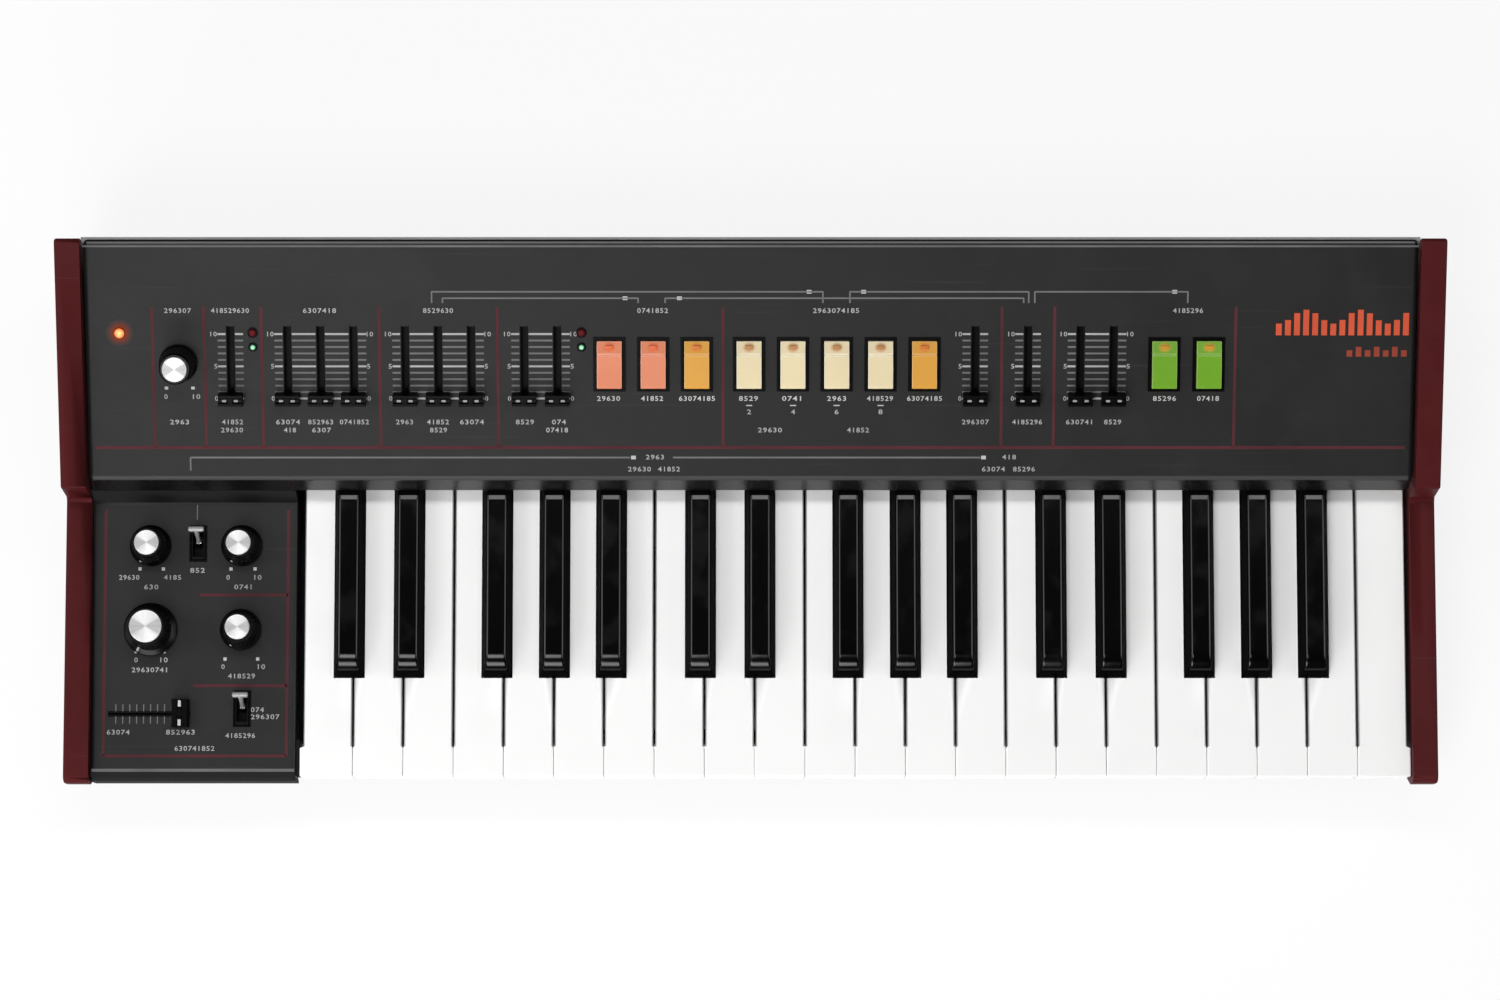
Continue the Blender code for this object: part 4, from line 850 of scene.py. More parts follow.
def black_keys():
    """A dull body with a glossy cap, curved down at the front and falling away at the rear."""
    half, front, rear = 6.7, -75.0, 22.0
    shoulder, top, tail_top = 51.2, 61.5, 50.0
    fall, dark_end = 7.4, 9.3
    key = block("black_key", (-half, front, 38.0), (half, rear, tail_top))
    pick_faces(key, lambda c, n: n.y > 0.9)
    raise_faces((0, 76.0 - rear, 0))
    leave_edit()
    pick_faces(key, lambda c, n: n.z > 0.9 and c.y < rear)
    raise_faces((0, 0, shoulder - tail_top))
    raise_faces((0, 0, top - shoulder), (9.4 / 13.4, 1, 1))
    leave_edit()
    pick_edges(key, lambda a, b: min(a.z, b.z) > top - 0.1 and max(a.y, b.y) < front + 0.1)
    bpy.ops.transform.translate(value=(0, 3.7, 0))
    bpy.ops.mesh.bevel(offset=7.0, segments=14)
    leave_edit()
    edit("FACE")
    bpy.ops.mesh.select_all(action="SELECT")
    bpy.ops.mesh.bisect(plane_co=(0, fall, 0), plane_no=(0, 1, 0))
    leave_edit()
    pick_edges(key, lambda a, b: min(a.z, b.z) > top - 0.1 and min(a.y, b.y) > rear - 0.1)
    bpy.ops.transform.translate(value=(0, 0, -1.61))
    leave_edit()
    rounded(key, 1.6, 6, 25.0)
    pick_edges(key, lambda a, b: max(abs(a.y - fall), abs(b.y - fall)) < 0.1)
    bpy.ops.mesh.mark_sharp()
    leave_edit()
    edit("FACE")
    bpy.ops.mesh.select_all(action="SELECT")
    bpy.ops.mesh.bisect(plane_co=(0, dark_end, 0), plane_no=(0, 1, 0))
    leave_edit()
    # Steep flanks and the rear end past dark_end take the dull black as painted shade; the rear end
    # lies under the panel's lip
    for face in key.data.polygons:
        steep = abs(face.normal.x) > 0.93 or face.normal.z < 0.6
        face.material_index = 1 if steep or face.center.y > dark_end else 0
    for i, x in enumerate(black_key_places(), start=1):
        name = f"black_key_{i:02d}"
        twin = copied(key, f"{name}_skin", Matrix.Translation((x, 0, 0)))
        settle(twin, CASE, (KEY_BLACK, KEY_BLACK_DULL_SHADE), name, name)
    bpy.data.objects.remove(key)


# Tab buttons, slider caps and their surrounds, in the panel's frame

BUTTON_CENTRE = 54.0
BUTTON_HALF_WIDTH, BUTTON_HALF_LENGTH = 5.75, 11.0
BUTTON_COLUMNS = {
    "salmon_buttons": (-65.4, -45.1),
    "orange_buttons": (-24.9, 80.5),
    "cream_buttons": (-0.7, 19.6, 39.9, 60.2),
    "green_buttons": (191.6, 212.2),
}
# Each tab's colours: its plastic; its lamp, which also tints the plastic round the window as a painted
# glow; and a paler rim colour, a painted highlight on its rounded edges
BUTTON_COLOURS = {
    "salmon_buttons": ((0.64, 0.200, 0.098), (0.70, 0.125, 0.024), (0.84, 0.42, 0.29)),
    "orange_buttons": ((0.62, 0.295, 0.028), (0.65, 0.180, 0.014), (0.80, 0.52, 0.20)),
    "cream_buttons": ((0.71, 0.60, 0.37), (0.50, 0.23, 0.075), (0.88, 0.83, 0.68)),
    "green_buttons": ((0.132, 0.328, 0.008), (0.60, 0.30, 0.018), (0.34, 0.54, 0.14)),
}
LAMP_SPOT = (0.0, 8.3)


def tab_buttons():
    """Ten tabs with painted highlights on their rims, a groove, a lamp window on the rear slope and a
    thin black surround.
    """
    groove = BUTTON_HALF_LENGTH - 6.4
    outline = (
        (-BUTTON_HALF_LENGTH, -1.6), (BUTTON_HALF_LENGTH, -1.6), (BUTTON_HALF_LENGTH, 1.6),
        (groove + 0.7, 3.3), (groove + 0.7, 2.8), (groove, 2.8), (groove, 3.4),
        (-BUTTON_HALF_LENGTH + 1.8, 3.8), (-BUTTON_HALF_LENGTH + 0.7, 3.6),
        (-BUTTON_HALF_LENGTH, 3.0),
    )
    tab = rounded(traced("tab", outline, BUTTON_HALF_WIDTH), 0.6, 3, 60.0, 1)
    planar_map(tab, LAMP_SPOT, (3.6, 2.8))
    window = rounded(block("tab_window", (-1.9, 7.6, 2.0), (1.9, 9.2, 2.95)), 0.25)
    frame_ring = surround("tab_surround", (BUTTON_HALF_WIDTH, BUTTON_HALF_LENGTH), 0.15, 1.65, 0.35)
    surrounds = []
    for node, columns in BUTTON_COLUMNS.items():
        colour, lamp, rim = BUTTON_COLOURS[node]
        plastic = tab_finish(f"{node}_plastic", colour, lamp)
        # The rim finish is a paler copy of the plastic: a painted highlight on the rounded edges
        edge = finish(f"{node}_rim", rim, 0.4)
        lens = finish(f"{node}_window", tuple(0.85 * part for part in lamp), 0.3, 0.3, grain=0.02)
        for i, x in enumerate(columns, start=1):
            spot = Matrix.Translation((x, BUTTON_CENTRE, 0))
            settle(copied(tab, f"{node}_tab_{i}", spot), PANEL, (plastic, edge), node, node)
            settle(copied(window, f"{node}_window_{i}", spot), PANEL, lens, node)
            surrounds.append(copied(frame_ring, "tab_surround_copy", spot))
    settle(joined("tab_surrounds", surrounds), PANEL, CAP_BLACK, "case")
    for piece in (tab, window, frame_ring):
        bpy.data.objects.remove(piece)


def surround(name, half, gap, width, height):
    """A flat frame round an opening, its inner edge a gap away from the half sizes."""
    inner = (half[0] + gap, half[1] + gap)
    outer = (inner[0] + width, inner[1] + width)
    ring = block(name, (-outer[0], -outer[1], 0.0), (*outer, height))
    hole = block("surround_hole", (-inner[0], -inner[1], -1.0), (*inner, height + 1.0))
    return rounded(bored(ring, hole), height * 0.4)


SLIDER_GROUPS = (
    (-240.8,),
    (-214.5, -199.2, -183.9),
    (-160.0, -144.7, -129.4),
    (-104.9, -89.6),
    (104.0,),
    (128.4,),
    (152.7, 168.0),
)
SLIDER_REST = 38.0


def grooved_cap(name, half_width, half_length, height):
    """A grooved cap with a flange, drawn from the side, and its groove filled at the middle."""
    top = half_length - 0.7
    outline = (
        (-half_length, 1.6), (half_length, 1.6), (half_length, 2.8), (top, height),
        (1.3, height), (0.7, height - 0.7), (-0.7, height - 0.7), (-1.3, height),
        (-top, height), (-half_length, 2.8),
    )
    cap = traced(name, outline, half_width)
    pick_faces(cap, lambda c, n: abs(n.x) > 0.9)
    bpy.ops.mesh.inset(thickness=0.01)
    leave_edit()
    cap = rounded(cap, 0.22, 2, 25.0)
    grip = rounded(block("grip", (-1.25, -1.2, height - 1.0), (1.25, 1.2, height + 0.02)), 0.2)
    return joined(name, [cap, grip])


def slider_caps():
    cap = grooved_cap("slider_cap", 5.6, 3.2, 8.0)
    stem = rounded(block("stem", (-0.7, -2.0, -5.0), (0.7, 2.0, 2.0)), 0.2)
    cap = joined("slider_cap", [cap, stem])
    mark = rounded(block("cap_mark", (1.75, -0.5, 7.0), (3.65, 0.5, 7.42)), 0.08)
    caps, marks = [], []
    for x in (x for group in SLIDER_GROUPS for x in group):
        spot = Matrix.Translation((x, SLIDER_REST, 0))
        caps.append(copied(cap, "slider_cap_copy", spot))
        for side in (0, math.pi):
            turn = spot @ Matrix.Rotation(side, 4, "Z")
            marks.append(copied(mark, "cap_mark_copy", turn))
    settle(joined("slider_cap_row", caps), PANEL, CAP_BLACK, "slider_caps", "slider_caps")
    settle(joined("slider_cap_marks", marks), PANEL, CAP_MARK, "slider_caps")
    for piece in (cap, mark):
        bpy.data.objects.remove(piece)


def pitch_slider():
    """The wide cap of the pitch slider, across its slot, with two white dashes."""
    spot = Matrix.Translation((-266.6, -92.4, 0)) @ Matrix.Rotation(math.pi / 2, 4, "Z")
    cap = grooved_cap("pitch_cap", 6.55, 4.2, 7.0)
    stem = rounded(block("stem", (-0.3, -2.0, -6.1), (0.3, 2.0, 2.0)), 0.1)
    cap = joined("pitch_cap", [cap, stem])
    cap.data.transform(spot)
    settle(cap, PLATE, CAP_BLACK, "pitch_slider_cap", "pitch_slider_cap")
    marks = []
    for side in (-1, 1):
        near, far = sorted((side * 3.0, side * 5.9))
        marks.append(rounded(block("dash", (near, -0.7, 6.0), (far, 0.7, 6.55)), 0.08))
    marks = joined("pitch_cap_marks", marks)
    marks.data.transform(spot)
    settle(marks, PLATE, PRINT_WHITE, "pitch_slider_cap")
    felts = []
    for near, far in ((0.4, 1.6), (-1.6, -0.4)):
        felt = block("felt", (-301.2, -92.4 + near, -0.95), (-261.8, -92.4 + far, -0.25))
        felts.append(rounded(felt, 0.12))
    settle(joined("pitch_slot_felts", felts), PLATE, CHARCOAL_SHADE, "case")


# Knobs: name, frame, place, height, skirt radius, cap radius, shaft depth

KNOBS = (
    ("phones_knob", PANEL, (-265.0, 54.6), 18.0, 8.9, 5.8, 4.6),
    ("time_knob", PLATE, (-281.6, -13.5), 18.0, 9.7, 5.8, 6.1),
    ("tune_knob", PLATE, (-238.8, -13.5), 18.0, 9.7, 5.8, 6.1),
    ("volume_knob", PLATE, (-238.9, -53.0), 18.0, 9.7, 5.8, 6.1),
    ("pitch_set_knob", PLATE, (-281.1, -53.0), 22.0, 12.5, 7.6, 6.1),
)
POINTER_TURN = math.radians(-31)


def knobs():
    """Fluted black knobs with a flared skirt, a small pointer rib and a spun metal cap."""
    for name, base, (x, y), height, skirt, cap, shaft in KNOBS:
        grip = cap + 1.5
        spot = Matrix.Translation((x, y, 0))
        rings = (
            (3.0, -shaft), (3.0, 0.6), (skirt - 0.3, 0.6), (skirt, 0.9), (skirt, 2.2),
            (skirt - 0.5, 2.8), (grip + 0.9, 4.0), (grip + 0.6, 4.8), (grip + 0.1, height - 2.4),
            (grip - 0.1, height - 1.7), (grip - 0.7, height - 1.1), (cap + 0.15, height - 1.1),
            (cap + 0.05, height - 1.5),
        )
        body = turned(f"{name}_grip", rings, 72)
        pick_faces(body, lambda c, n: 5.0 < c.z < height - 2.5 and round(math.atan2(c.y, c.x) / math.radians(5) - 0.5) % 3 == 0)
        bpy.ops.mesh.inset(thickness=0.10, depth=-0.28, use_individual=True)
        leave_edit()
        body.data.transform(spot)
        settle(body, base, KNOB_BLACK, name, name)
        face = turned(f"{name}_cap", (
            (cap - 0.2, height - 1.6), (cap, height - 1.5), (cap, height - 0.25),
            (cap - 0.12, height - 0.06), (cap - 0.35, height), (cap - 0.8, height - 0.02),
            (cap * 0.5, height - 0.10), (0.3, height - 0.12),
        ), 64)
        planar_map(face, (0, 0), (cap, cap))
        face.data.transform(spot)
        settle(face, base, SPUN, name)
        rib = block(f"{name}_pointer", (-0.55, -skirt + 0.5, 2.4), (0.55, -grip - 0.4, 4.35))
        pick_edges(rib, lambda a, b: min(a.z, b.z) > 4.2 and max(a.y, b.y) < -skirt + 0.6)
        bpy.ops.transform.translate(value=(0, 0.2, -1.2))
        leave_edit()
        rounded(rib, 0.15)
        rib.data.transform(spot @ Matrix.Rotation(POINTER_TURN, 4, "Z"))
        settle(rib, base, PRINT_SOFT, name)


# Toggle switches

TOGGLES = (("glide_toggle", (-259.4, -12.4)), ("hold_toggle", (-238.0, -90.0)))
TOGGLE_LEAN = math.radians(-20.5)


def toggles():
    """Bright levers with a T-shaped tip in a darker metal, painted shade on the tip, each in a black
    surround over its switch.
    """
    rings = []
    for name, (x, y) in TOGGLES:
        hinge = Matrix.Translation((x, y, -5.5)) @ Matrix.Rotation(TOGGLE_LEAN, 4, "X")
        foot = rounded(block("toggle_foot", (-1.2, -1.0, -1.2), (1.2, 1.0, 3.4)), 0.3)
        stem = turned("toggle_stem", (
            (1.1, 3.0), (0.95, 4.4), (0.95, 9.0), (1.15, 12.6), (1.2, 16.0), (0.7, 16.6),
        ), 24)
        tip = rounded(block("toggle_tip", (-3.7, -1.1, 15.3), (3.7, 1.3, 17.6)), 0.8, 4)
        lever = joined(f"{name}_lever", [foot, stem, tip])
        # The foot is the switch's black body; the tip takes the darker metal as painted shade
        for face in lever.data.polygons:
            height = face.center.z
            face.material_index = 0 if height < 3.3 else 1 if height < 15.2 else 2
        lever.data.transform(hinge)
        settle(lever, PLATE, (CAP_BLACK, BRIGHT_METAL, TIP_METAL_SHADED), name, name)
        ring = surround("toggle_surround", (3.4, 7.8), 0.0, 0.8, 0.4)
        ring.data.transform(Matrix.Translation((x, y, 0)))
        rings.append(ring)
    settle(joined("toggle_surrounds", rings), PLATE, CAP_BLACK, "case")


# Lamps: name, place on the panel, lens radius, and what it looks like


def lamps():
    orange = glow_finish(
        "lamp_orange", (0.35, 0.05, 0.01), (1.0, 0.68, 0.22), (0.88, 0.19, 0.03), 1.0, 0.25
    )
    orange_spill = glow_finish(
        "lamp_orange_spill", CHARCOAL_COLOUR, (0.24, 0.035, 0.010), (0.042, 0.040, 0.040), 1.0, 0.28,
        0.8, 0.01,
    )
    red = glow_finish(
        "lamp_red_off", (0.050, 0.002, 0.004), (0.060, 0.004, 0.006), (0.008, 0, 0), 1.0, 0.2, 0.5, 0.1
    )
    green = glow_finish(
        "lamp_green", (0.03, 0.12, 0.06), (0.55, 0.92, 0.62), (0.06, 0.30, 0.14), 1.0, 0.3, 0.5, 0.1
    )
    places = [("power_lamp", -292.0, 68.7, 2.4, orange)]
    for section, x in (("left", -230.4), ("middle", -78.3)):
        places.append((f"{section}_red_lamp", x, 68.9, 1.8, red))
        places.append((f"{section}_green_lamp", x, 62.1, 1.5, green))
    collars = []
    for name, x, s, radius, material in places:
        reach = 0.8 * radius if material is green else 0.96 * radius
        lens = turned(name, (
            (reach, -0.4), (reach, 0.15), (reach * 0.9, 0.42), (reach * 0.68, 0.66),
            (reach * 0.38, 0.80), (reach * 0.1, 0.84),
        ), 32)
        planar_map(lens, (0, 0), (reach, reach))
        lens.data.transform(Matrix.Translation((x, s, 0.9)))
        settle(lens, PANEL, material, "case")
        if material is orange:
            continue
        collar = turned(
            "lamp_collar", ((radius + 0.7, 0.0), (radius + 0.7, 0.12), (radius + 0.4, 0.3)), 32
        )
        tool = rod("collar_hole", radius + 0.1, -1.0, 1.0)
        bored(collar, tool)
        collar.data.transform(Matrix.Translation((x, s, 0)))
        collars.append(collar)
    settle(joined("lamp_collars", collars), PANEL, CAP_BLACK, "case")
    # A painted glow: an emitting disc on the panel round the power lamp
    spill = turned("power_lamp_spill", ((6.4, 0.0), (6.4, 0.03)), 48)
    hole = rod("spill_hole", 2.5, -1.0, 1.0)
    bored(spill, hole)
    planar_map(spill, (0, 0), (6.4, 6.4))
    spill.data.transform(Matrix.Translation((-292.0, 68.7, 0)))
    settle(spill, PANEL, orange_spill, "case")


# Screws and what shows behind


def screw_head(name, radius, height):
    """A low domed head on its back, rising along Z, with a hexagonal socket."""
    head = turned(name, (
        (radius, 0.0), (radius, height * 0.35), (radius * 0.93, height * 0.7),
        (radius * 0.75, height * 0.93), (radius * 0.5, height),
    ), 32)
    socket = rod("socket", radius * 0.42, height * 0.25, height + 1.0, 6)
    return bored(head, socket)


def screws():
    """Screws in the cheeks' recesses, along the rear flange and under the pan."""
    cheek, rear, under = [], [], []
    head = screw_head("cheek_screw", 3.8, 1.5)
    small = screw_head("case_screw", 2.6, 1.0)
    for side in (-1, 1):
        facing = Matrix.Rotation(side * math.pi / 2, 4, "Y")
        for y, z in ((-98.0, 30.0), (2.0, 34.0), (103.0, 44.0)):
            spot = Matrix.Translation((side * (320.75 - 1.6), y, z)) @ facing
            cheek.append(copied(head, "cheek_screw_copy", spot))
    for x in (-290.0, -145.0, 0.0, 145.0, 290.0):
        back = Matrix.Translation((x, 122.95, 99.5)) @ Matrix.Rotation(-math.pi / 2, 4, "X")
        rear.append(copied(small, "rear_screw_copy", back))
        for y in (-62.0, 72.0):
            down = Matrix.Translation((x, y, 6.0)) @ Matrix.Rotation(math.pi, 4, "X")
            under.append(copied(small, "under_screw_copy", down))
    for name, group in (("cheek_screws", cheek), ("rear_screws", rear), ("under_screws", under)):
        settle(joined(name, group), CASE, SCREW_BLACK, "case")
    for piece in (head, small):
        bpy.data.objects.remove(piece)


def rear_sockets():
    """Plated nuts and collars on the five jacks, ringed round sockets, a port rim and a power inlet
    ring.
    """
    socket_z = 38.0
    back = Matrix.Rotation(-math.pi / 2, 4, "X")

    def at(x, y):
        return Matrix.Translation((x, y, socket_z)) @ back

    nuts = []
    for i in range(5):
        x = -250.0 + 28.0 * i
        nut = rod("nut", 7.15, 0.0, 2.0, 6)
        nut = rounded(bored(nut, rod("nut_hole", 4.62, -1.0, 3.0)), 0.25, 2, 50.0)
        collar = bored(rod("collar", 4.75, 0.0, 0.5), rod("collar_hole", 3.35, -1.0, 2.0))
        nut.data.transform(at(x, 119.7))
        collar.data.transform(at(x, 121.6))
        nuts += [nut, rounded(collar, 0.12)]
    settle(joined("jack_nuts", nuts), CASE, PLATED, "case")
    rims, faces = [], []
    for i in range(3):
        x = -72.0 + 27.0 * i
        rim = bored(rod("rim", 7.75, 0.0, 0.9, 48), rod("rim_hole", 6.5, -1.0, 2.0, 48))
        face = rod("socket_face", 6.5, 0.0, 0.35, 48)
        for k in range(5):
            turn = math.radians(-90 + 45 * k)
            pin = rod("pin_hole", 0.75, -1.0, 2.0, 16)
            pin.data.transform(Matrix.Translation((3.9 * math.sin(turn), 3.9 * math.cos(turn), 0)))
            face = bored(face, pin)
        rim.data.transform(at(x, 119.6))
        face.data.transform(at(x, 120.05))
        rims.append(rounded(rim, 0.2))
        faces.append(face)
    port = block("port_rim", (-6.1, -5.6, 0.0), (6.1, 5.6, 0.7))
    port = rounded(bored(port, block("port_hole", (-4.3, -4.0, -1.0), (4.3, 4.0, 2.0))), 0.2)
    port.data.transform(at(16.0, 119.65))
    rims.append(port)
    settle(joined("socket_rims", rims), CASE, PLATED, "case")
    inlet = bored(rod("inlet", 5.75, 0.0, 0.9, 48), rod("inlet_hole", 3.0, -1.0, 2.0, 32))
    inlet.data.transform(at(52.0, 119.6))
    faces.append(rounded(inlet, 0.2))
    settle(joined("socket_faces", faces), CASE, SOCKET, "case")


# Printing: thin inked slabs and plain numbers

INK = 0.04


def ink(name, rects, place, material):
    """One mesh of thin slabs from (x0, y0, x1, y1) rectangles."""
    slabs = [block("slab", (x0, y0, 0.0), (x1, y1, INK)) for x0, y0, x1, y1 in rects]
    return settle(joined(name, slabs), place, material, "case")


def level(x0, x1, y, width):
    return (min(x0, x1), y - width / 2, max(x0, x1), y + width / 2)


def upright(x, y0, y1, width):
    return (x - width / 2, min(y0, y1), x + width / 2, max(y0, y1))


def numbers(name, labels, place, material, height=2.5):
    """Plain running digits that fill each (x, y, width) block."""
    made = []
    for count, (x, y, width) in enumerate(labels, start=1):
        digits = max(1, round(width / (0.9 * height)))
        text = "".join(str((2 * count + 7 * i) % 10) for i in range(digits))
        made.append(number(text, x, y, width, height))
    return settle(joined(name, made), place, material, "case")


def number(text, x, y, width, height):
    """A solid number that fills the given width and height about its middle."""
    bpy.ops.object.select_all(action="DESELECT")
    bpy.ops.object.text_add()
    label = bpy.context.active_object
    label.data.body = text
    label.data.size = height * 1.4
    label.data.space_character = 1.15
    label.data.offset = 0.03
    label.data.extrude = INK / 2
    label.data.resolution_u = 2
    bpy.ops.object.convert(target="MESH")
    label = bpy.context.active_object
    label.data.materials.clear()
    xs = [point.co.x for point in label.data.vertices]
    ys = [point.co.y for point in label.data.vertices]
    middle = Vector(((min(xs) + max(xs)) / 2, (min(ys) + max(ys)) / 2, 0))
    fit = (width / (max(xs) - min(xs)), height / (max(ys) - min(ys)), 1, 1)
    spot = Matrix.Translation((x, y, INK / 2))
    label.data.transform(spot @ Matrix.Diagonal(fit) @ Matrix.Translation(-middle))
    return label


SCALE_LOW, SCALE_STEP = 37.9, 3.03
SECTION_LINES = (-276.8, -252.9, -226.4, -171.9, -117.1, -12.8, 116.3, 140.6, 224.4)


def slider_scales():
    """Eleven lines across each group, broken where the caps run, brighter at 0, 5 and 10."""
    faint, bright, ends = [], [], []
    for columns in SLIDER_GROUPS:
        edges = [columns[0] - 5.9]
        for column in columns:
            edges += [column - 2.2, column + 2.2]
        edges.append(columns[-1] + 5.9)
        for step in range(11):
            s = SCALE_LOW + step * SCALE_STEP
            marks = bright if step % 5 == 0 else faint
            for start, end in zip(edges[::2], edges[1::2]):
                marks.append(level(start, end, s, 0.9 if step % 5 == 0 else 0.8))
        for text, step, width in (("0", 0, 1.5), ("5", 5, 1.5), ("10", 10, 3.0)):
            s = SCALE_LOW + step * SCALE_STEP
            outer = [columns[0] - 6.2 - width / 2]
            if len(columns) > 1:
                outer.append(columns[-1] + 6.2 + width / 2)
            ends += [number(text, x, s, width, 2.2) for x in outer]
    ink("slider_scale_lines", faint, PANEL, PRINT_GREY)
    ink("slider_scale_ends", bright, PANEL, PRINT_SOFT)
    settle(joined("slider_scale_numbers", ends), PANEL, PRINT_SOFT, "case")


def slot_edges():
    """Black borders along the slider slots."""
    borders = []
    for x in (x for group in SLIDER_GROUPS for x in group):
        for near, far in ((-1.9, -1.42), (1.42, 1.9)):
            borders.append((x + near, 34.3, x + far, 72.1))
    ink("slot_borders", borders, PANEL, PRINT_BLACK)


def panel_lines():
    red = [upright(x, 14.74, 80.9, 1.35) for x in SECTION_LINES]
    red.append(level(-304.3, 304.2, 14.74, 1.5))
    ink("panel_section_lines", red, PANEL, PRINT_RED)
    thin, thick = 0.7, 0.8
    flow = [level(x0, x1, y, thin) for x0, x1, y in (
        (-147.4, 33.4, 88.0), (45.9, 128.5, 88.0), (131.3, 202.0, 88.0), (-142.4, -52.0, 85.0),
        (-39.5, 126.2, 85.0),
    )]
    flow += [level(x0, x1, 10.0, thick) for x0, x1 in ((-260.5, -56.1), (-36.1, 106.7))]
    flow += [upright(x, 82.75, 88.2, thin) for x in (-147.4, 33.4, 45.9, 128.5, 131.3, 202.0)]
    flow += [upright(x, 82.75, 85.2, thin) for x in (-142.4, -52.0, -39.5, 126.2)]
    flow.append(upright(-260.5, 3.8, 10.0, thin))
    ink("panel_flow_lines", flow, PANEL, PRINT_GREY)
    heads = [(x - 1.1, s - 0.85, x + 1.1, s + 0.85) for x, s in (
        (27.0, 88.0), (52.2, 88.0), (195.9, 88.0), (-58.0, 85.0), (-32.9, 85.0),
        (-54.5, 10.0), (108.3, 10.0),
    )]
    ink("panel_flow_heads", heads, PANEL, PRINT_WHITE)
    # A painted highlight along the start of the panel's rear bend
    ink("panel_rear_edge_highlight", [(-308.2, 108.8, 308.2, 109.7)], PANEL, PAINTED_EDGE_HIGHLIGHT)


def panel_numbers():
    """Numbers over each section, under each slider and button, and beside the lower lines."""
    rows = (
        (79.2, ((-264.9, 12.5), (-240.7, 17.6), (-199.3, 15.3), (-144.5, 13.9), (-45.3, 14.3),
                (39.5, 21.3), (202.2, 13.9))),
        (37.9, ((-65.9, 10.7), (-45.7, 10.2), (-24.9, 16.7), (-1.0, 8.8), (19.0, 8.8),
                (39.9, 8.8), (60.0, 12.1), (80.7, 16.2), (192.0, 10.7), (212.2, 10.2))),
        (26.8, ((-265.2, 8.8), (-240.6, 9.8), (-214.8, 11.1), (-199.7, 11.6), (-184.0, 13.5),
                (-160.7, 7.9), (-145.2, 10.2), (-129.4, 11.1), (-104.8, 8.4), (-89.0, 6.5),
                (104.4, 12.5), (128.4, 13.9), (152.5, 12.1), (168.1, 7.9))),
        (23.0, ((-240.9, 10.2), (-214.0, 5.6), (-199.3, 8.8), (-145.0, 7.9), (-89.9, 10.2),
                (9.0, 11.1), (49.9, 10.2))),
        (31.6, ((-0.7, 1.9), (19.7, 1.9), (39.9, 1.9), (60.3, 1.9))),
        (10.2, ((-44.5, 8.4), (120.2, 6.5))),
        (4.5, ((-51.7, 10.7), (-38.0, 10.2), (113.0, 10.7), (127.2, 10.2))),
    )
    for i, (y, labels) in enumerate(rows, start=1):
        blocks = [(x, y, width) for x, width in labels]
        shade = PRINT_WHITE if y == 37.9 else PRINT_SOFT
        numbers(f"panel_numbers_{i}", blocks, PANEL, shade, 2.3)
    ends = [number("0", -271.2, 38.8, 1.6, 2.3), number("10", -257.0, 38.8, 3.4, 2.3)]
    settle(joined("phones_dial_numbers", ends), PANEL, PRINT_SOFT, "case")
    dots = [(x - 0.8, 42.2, x + 0.8, 43.5) for x in (-270.9, -258.6)]
    dots += [level(x - 1.4, x + 1.4, 34.6, 0.5) for x in (-0.7, 19.7, 39.9, 60.3)]
    ink("panel_small_marks", dots, PANEL, PRINT_WHITE)


def level_bars():
    """A plain row of bars that rises and falls, and a row of dots, at the right of the panel."""
    bars = []
    for i in range(15):
        x = 243.0 + i * 4.2
        height = 5.5 + 6.5 * (0.5 - 0.5 * math.cos(i * 1.05))
        bars.append((x, 67.6, x + 2.7, 67.6 + height))
    ink("panel_level_bars", bars, PANEL, PRINT_ORANGE)
    dots = [(276.0 + i * 4.2, 57.6, 278.6 + i * 4.2, 60.6 + 1.6 * (i % 2)) for i in range(7)]
    ink("panel_level_dots", dots, PANEL, PRINT_RUST)


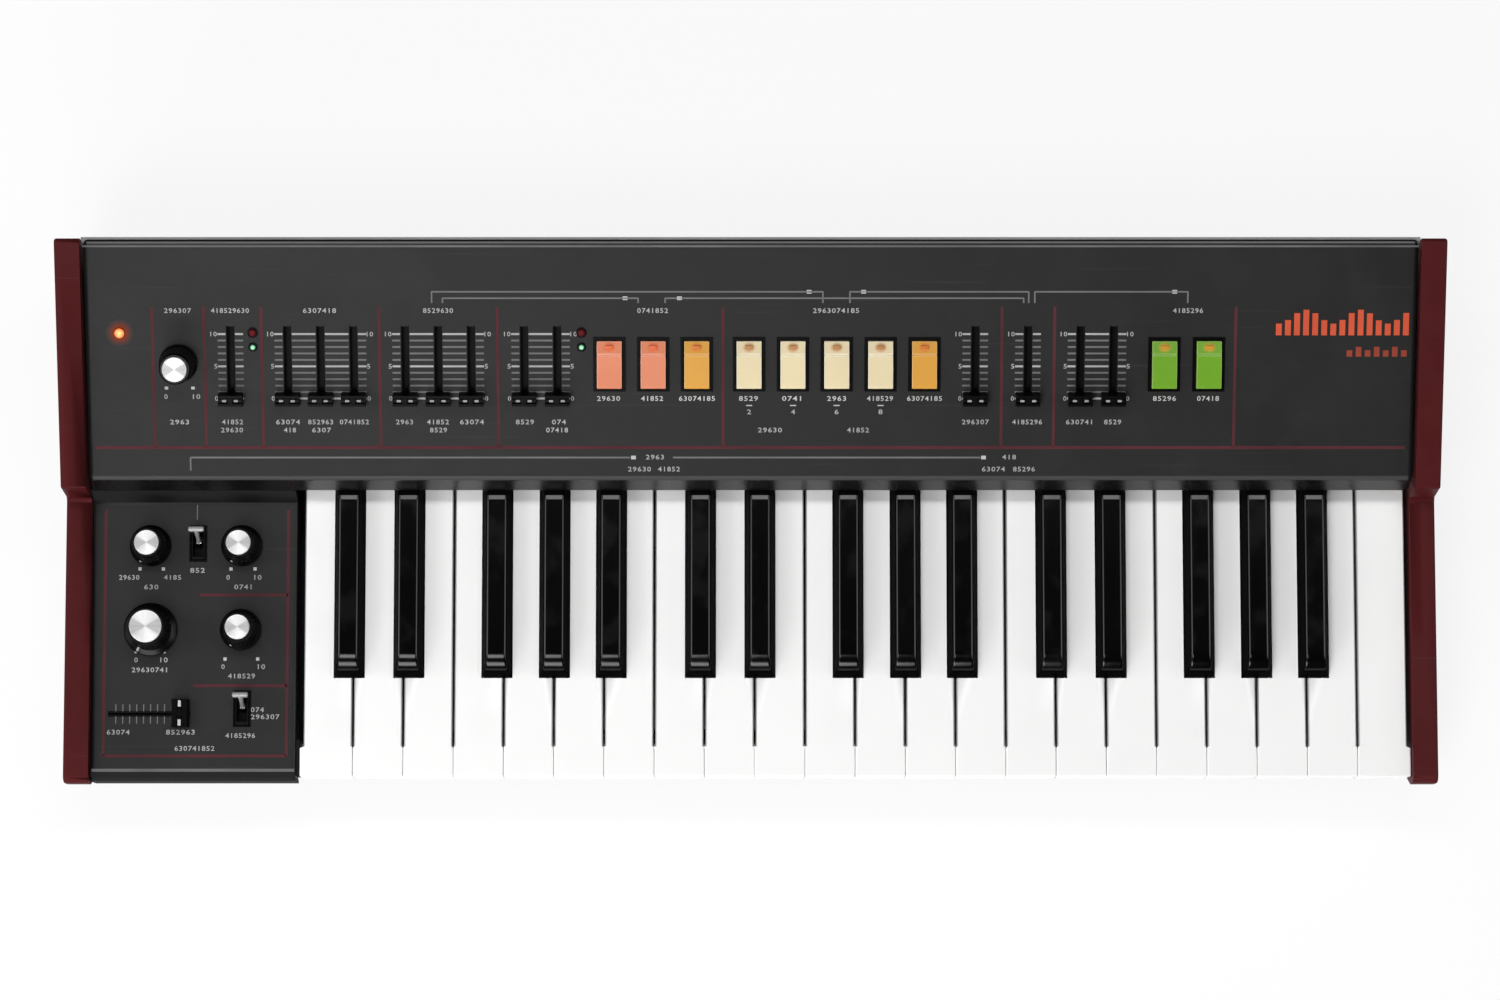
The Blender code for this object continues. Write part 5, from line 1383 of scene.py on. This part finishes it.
def plate_prints():
    red = [
        level(-302.8, -217.1, -112.1, 1.4),
        upright(-302.8, -112.1, 3.5, 1.4),
        upright(-217.1, -112.1, 3.5, 1.4),
        level(-258.3, -217.1, -36.6, 1.4),
        level(-261.1, -217.1, -79.2, 1.4),
    ]
    ink("plate_lines", red, PLATE, PRINT_RED)
    # A painted highlight along the plate's front bend, then painted shade on the strip in front of it
    ink("plate_front_edge_highlight", [(-308.0, -119.5, -213.3, -118.1)], PLATE, PAINTED_EDGE_HIGHLIGHT)
    ink("plate_shade", [(-308.3, -121.9, -213.0, -119.5)], PLATE, PLATE_SHADE)
    ticks = []
    for i in range(9):
        x = -297.0 + i * 3.25
        ticks += [upright(x, -91.2, -87.9, 0.45), upright(x, -97.0, -93.6, 0.45)]
    ticks.append(upright(-260.0, -1.2, 5.9, 0.45))
    ink("plate_ticks", ticks, PLATE, PRINT_GREY)
    dots = [(x - 0.75, y - 0.75, x + 0.75, y + 0.75) for x, y in (
        (-286.6, -24.3), (-275.6, -24.3), (-243.9, -24.3), (-232.6, -24.3),
        (-246.2, -66.7), (-230.9, -66.7), (-287.9, -63.2), (-274.8, -63.2),
    )]
    ink("plate_dots", dots, PLATE, PRINT_WHITE)
    labels = (
        (-291.6, -28.3, 9.5), (-271.3, -28.3, 8.1), (-281.2, -32.8, 6.7), (-259.6, -25.0, 6.9),
        (-238.2, -32.8, 8.1), (-281.6, -71.8, 16.5), (-238.4, -74.7, 12.7),
        (-295.8, -101.0, 10.7), (-266.7, -101.0, 13.4),
        (-230.8, -90.5, 6.1), (-227.1, -93.8, 13.4), (-238.7, -102.6, 13.9), (-260.0, -108.6, 18.7),
    )
    numbers("plate_numbers", labels, PLATE, PRINT_SOFT, 2.3)
    ends = [number("0", x, y, 1.6, 2.3) for x, y in (
        (-245.2, -28.3), (-287.9, -67.1), (-247.1, -70.3),
    )]
    ends += [number("10", x, y, 3.4, 2.3) for x, y in (
        (-231.2, -28.3), (-274.8, -67.1), (-229.1, -70.3),
    )]
    settle(joined("plate_dial_numbers", ends), PLATE, PRINT_SOFT, "case")


set_camera()
set_stage()
dress_nodes()
case_skins()
case_strips()
black_keys()
tab_buttons()
slider_caps()
pitch_slider()
knobs()
toggles()
lamps()
screws()
rear_sockets()
slider_scales()
slot_edges()
panel_lines()
panel_numbers()
level_bars()
plate_prints()
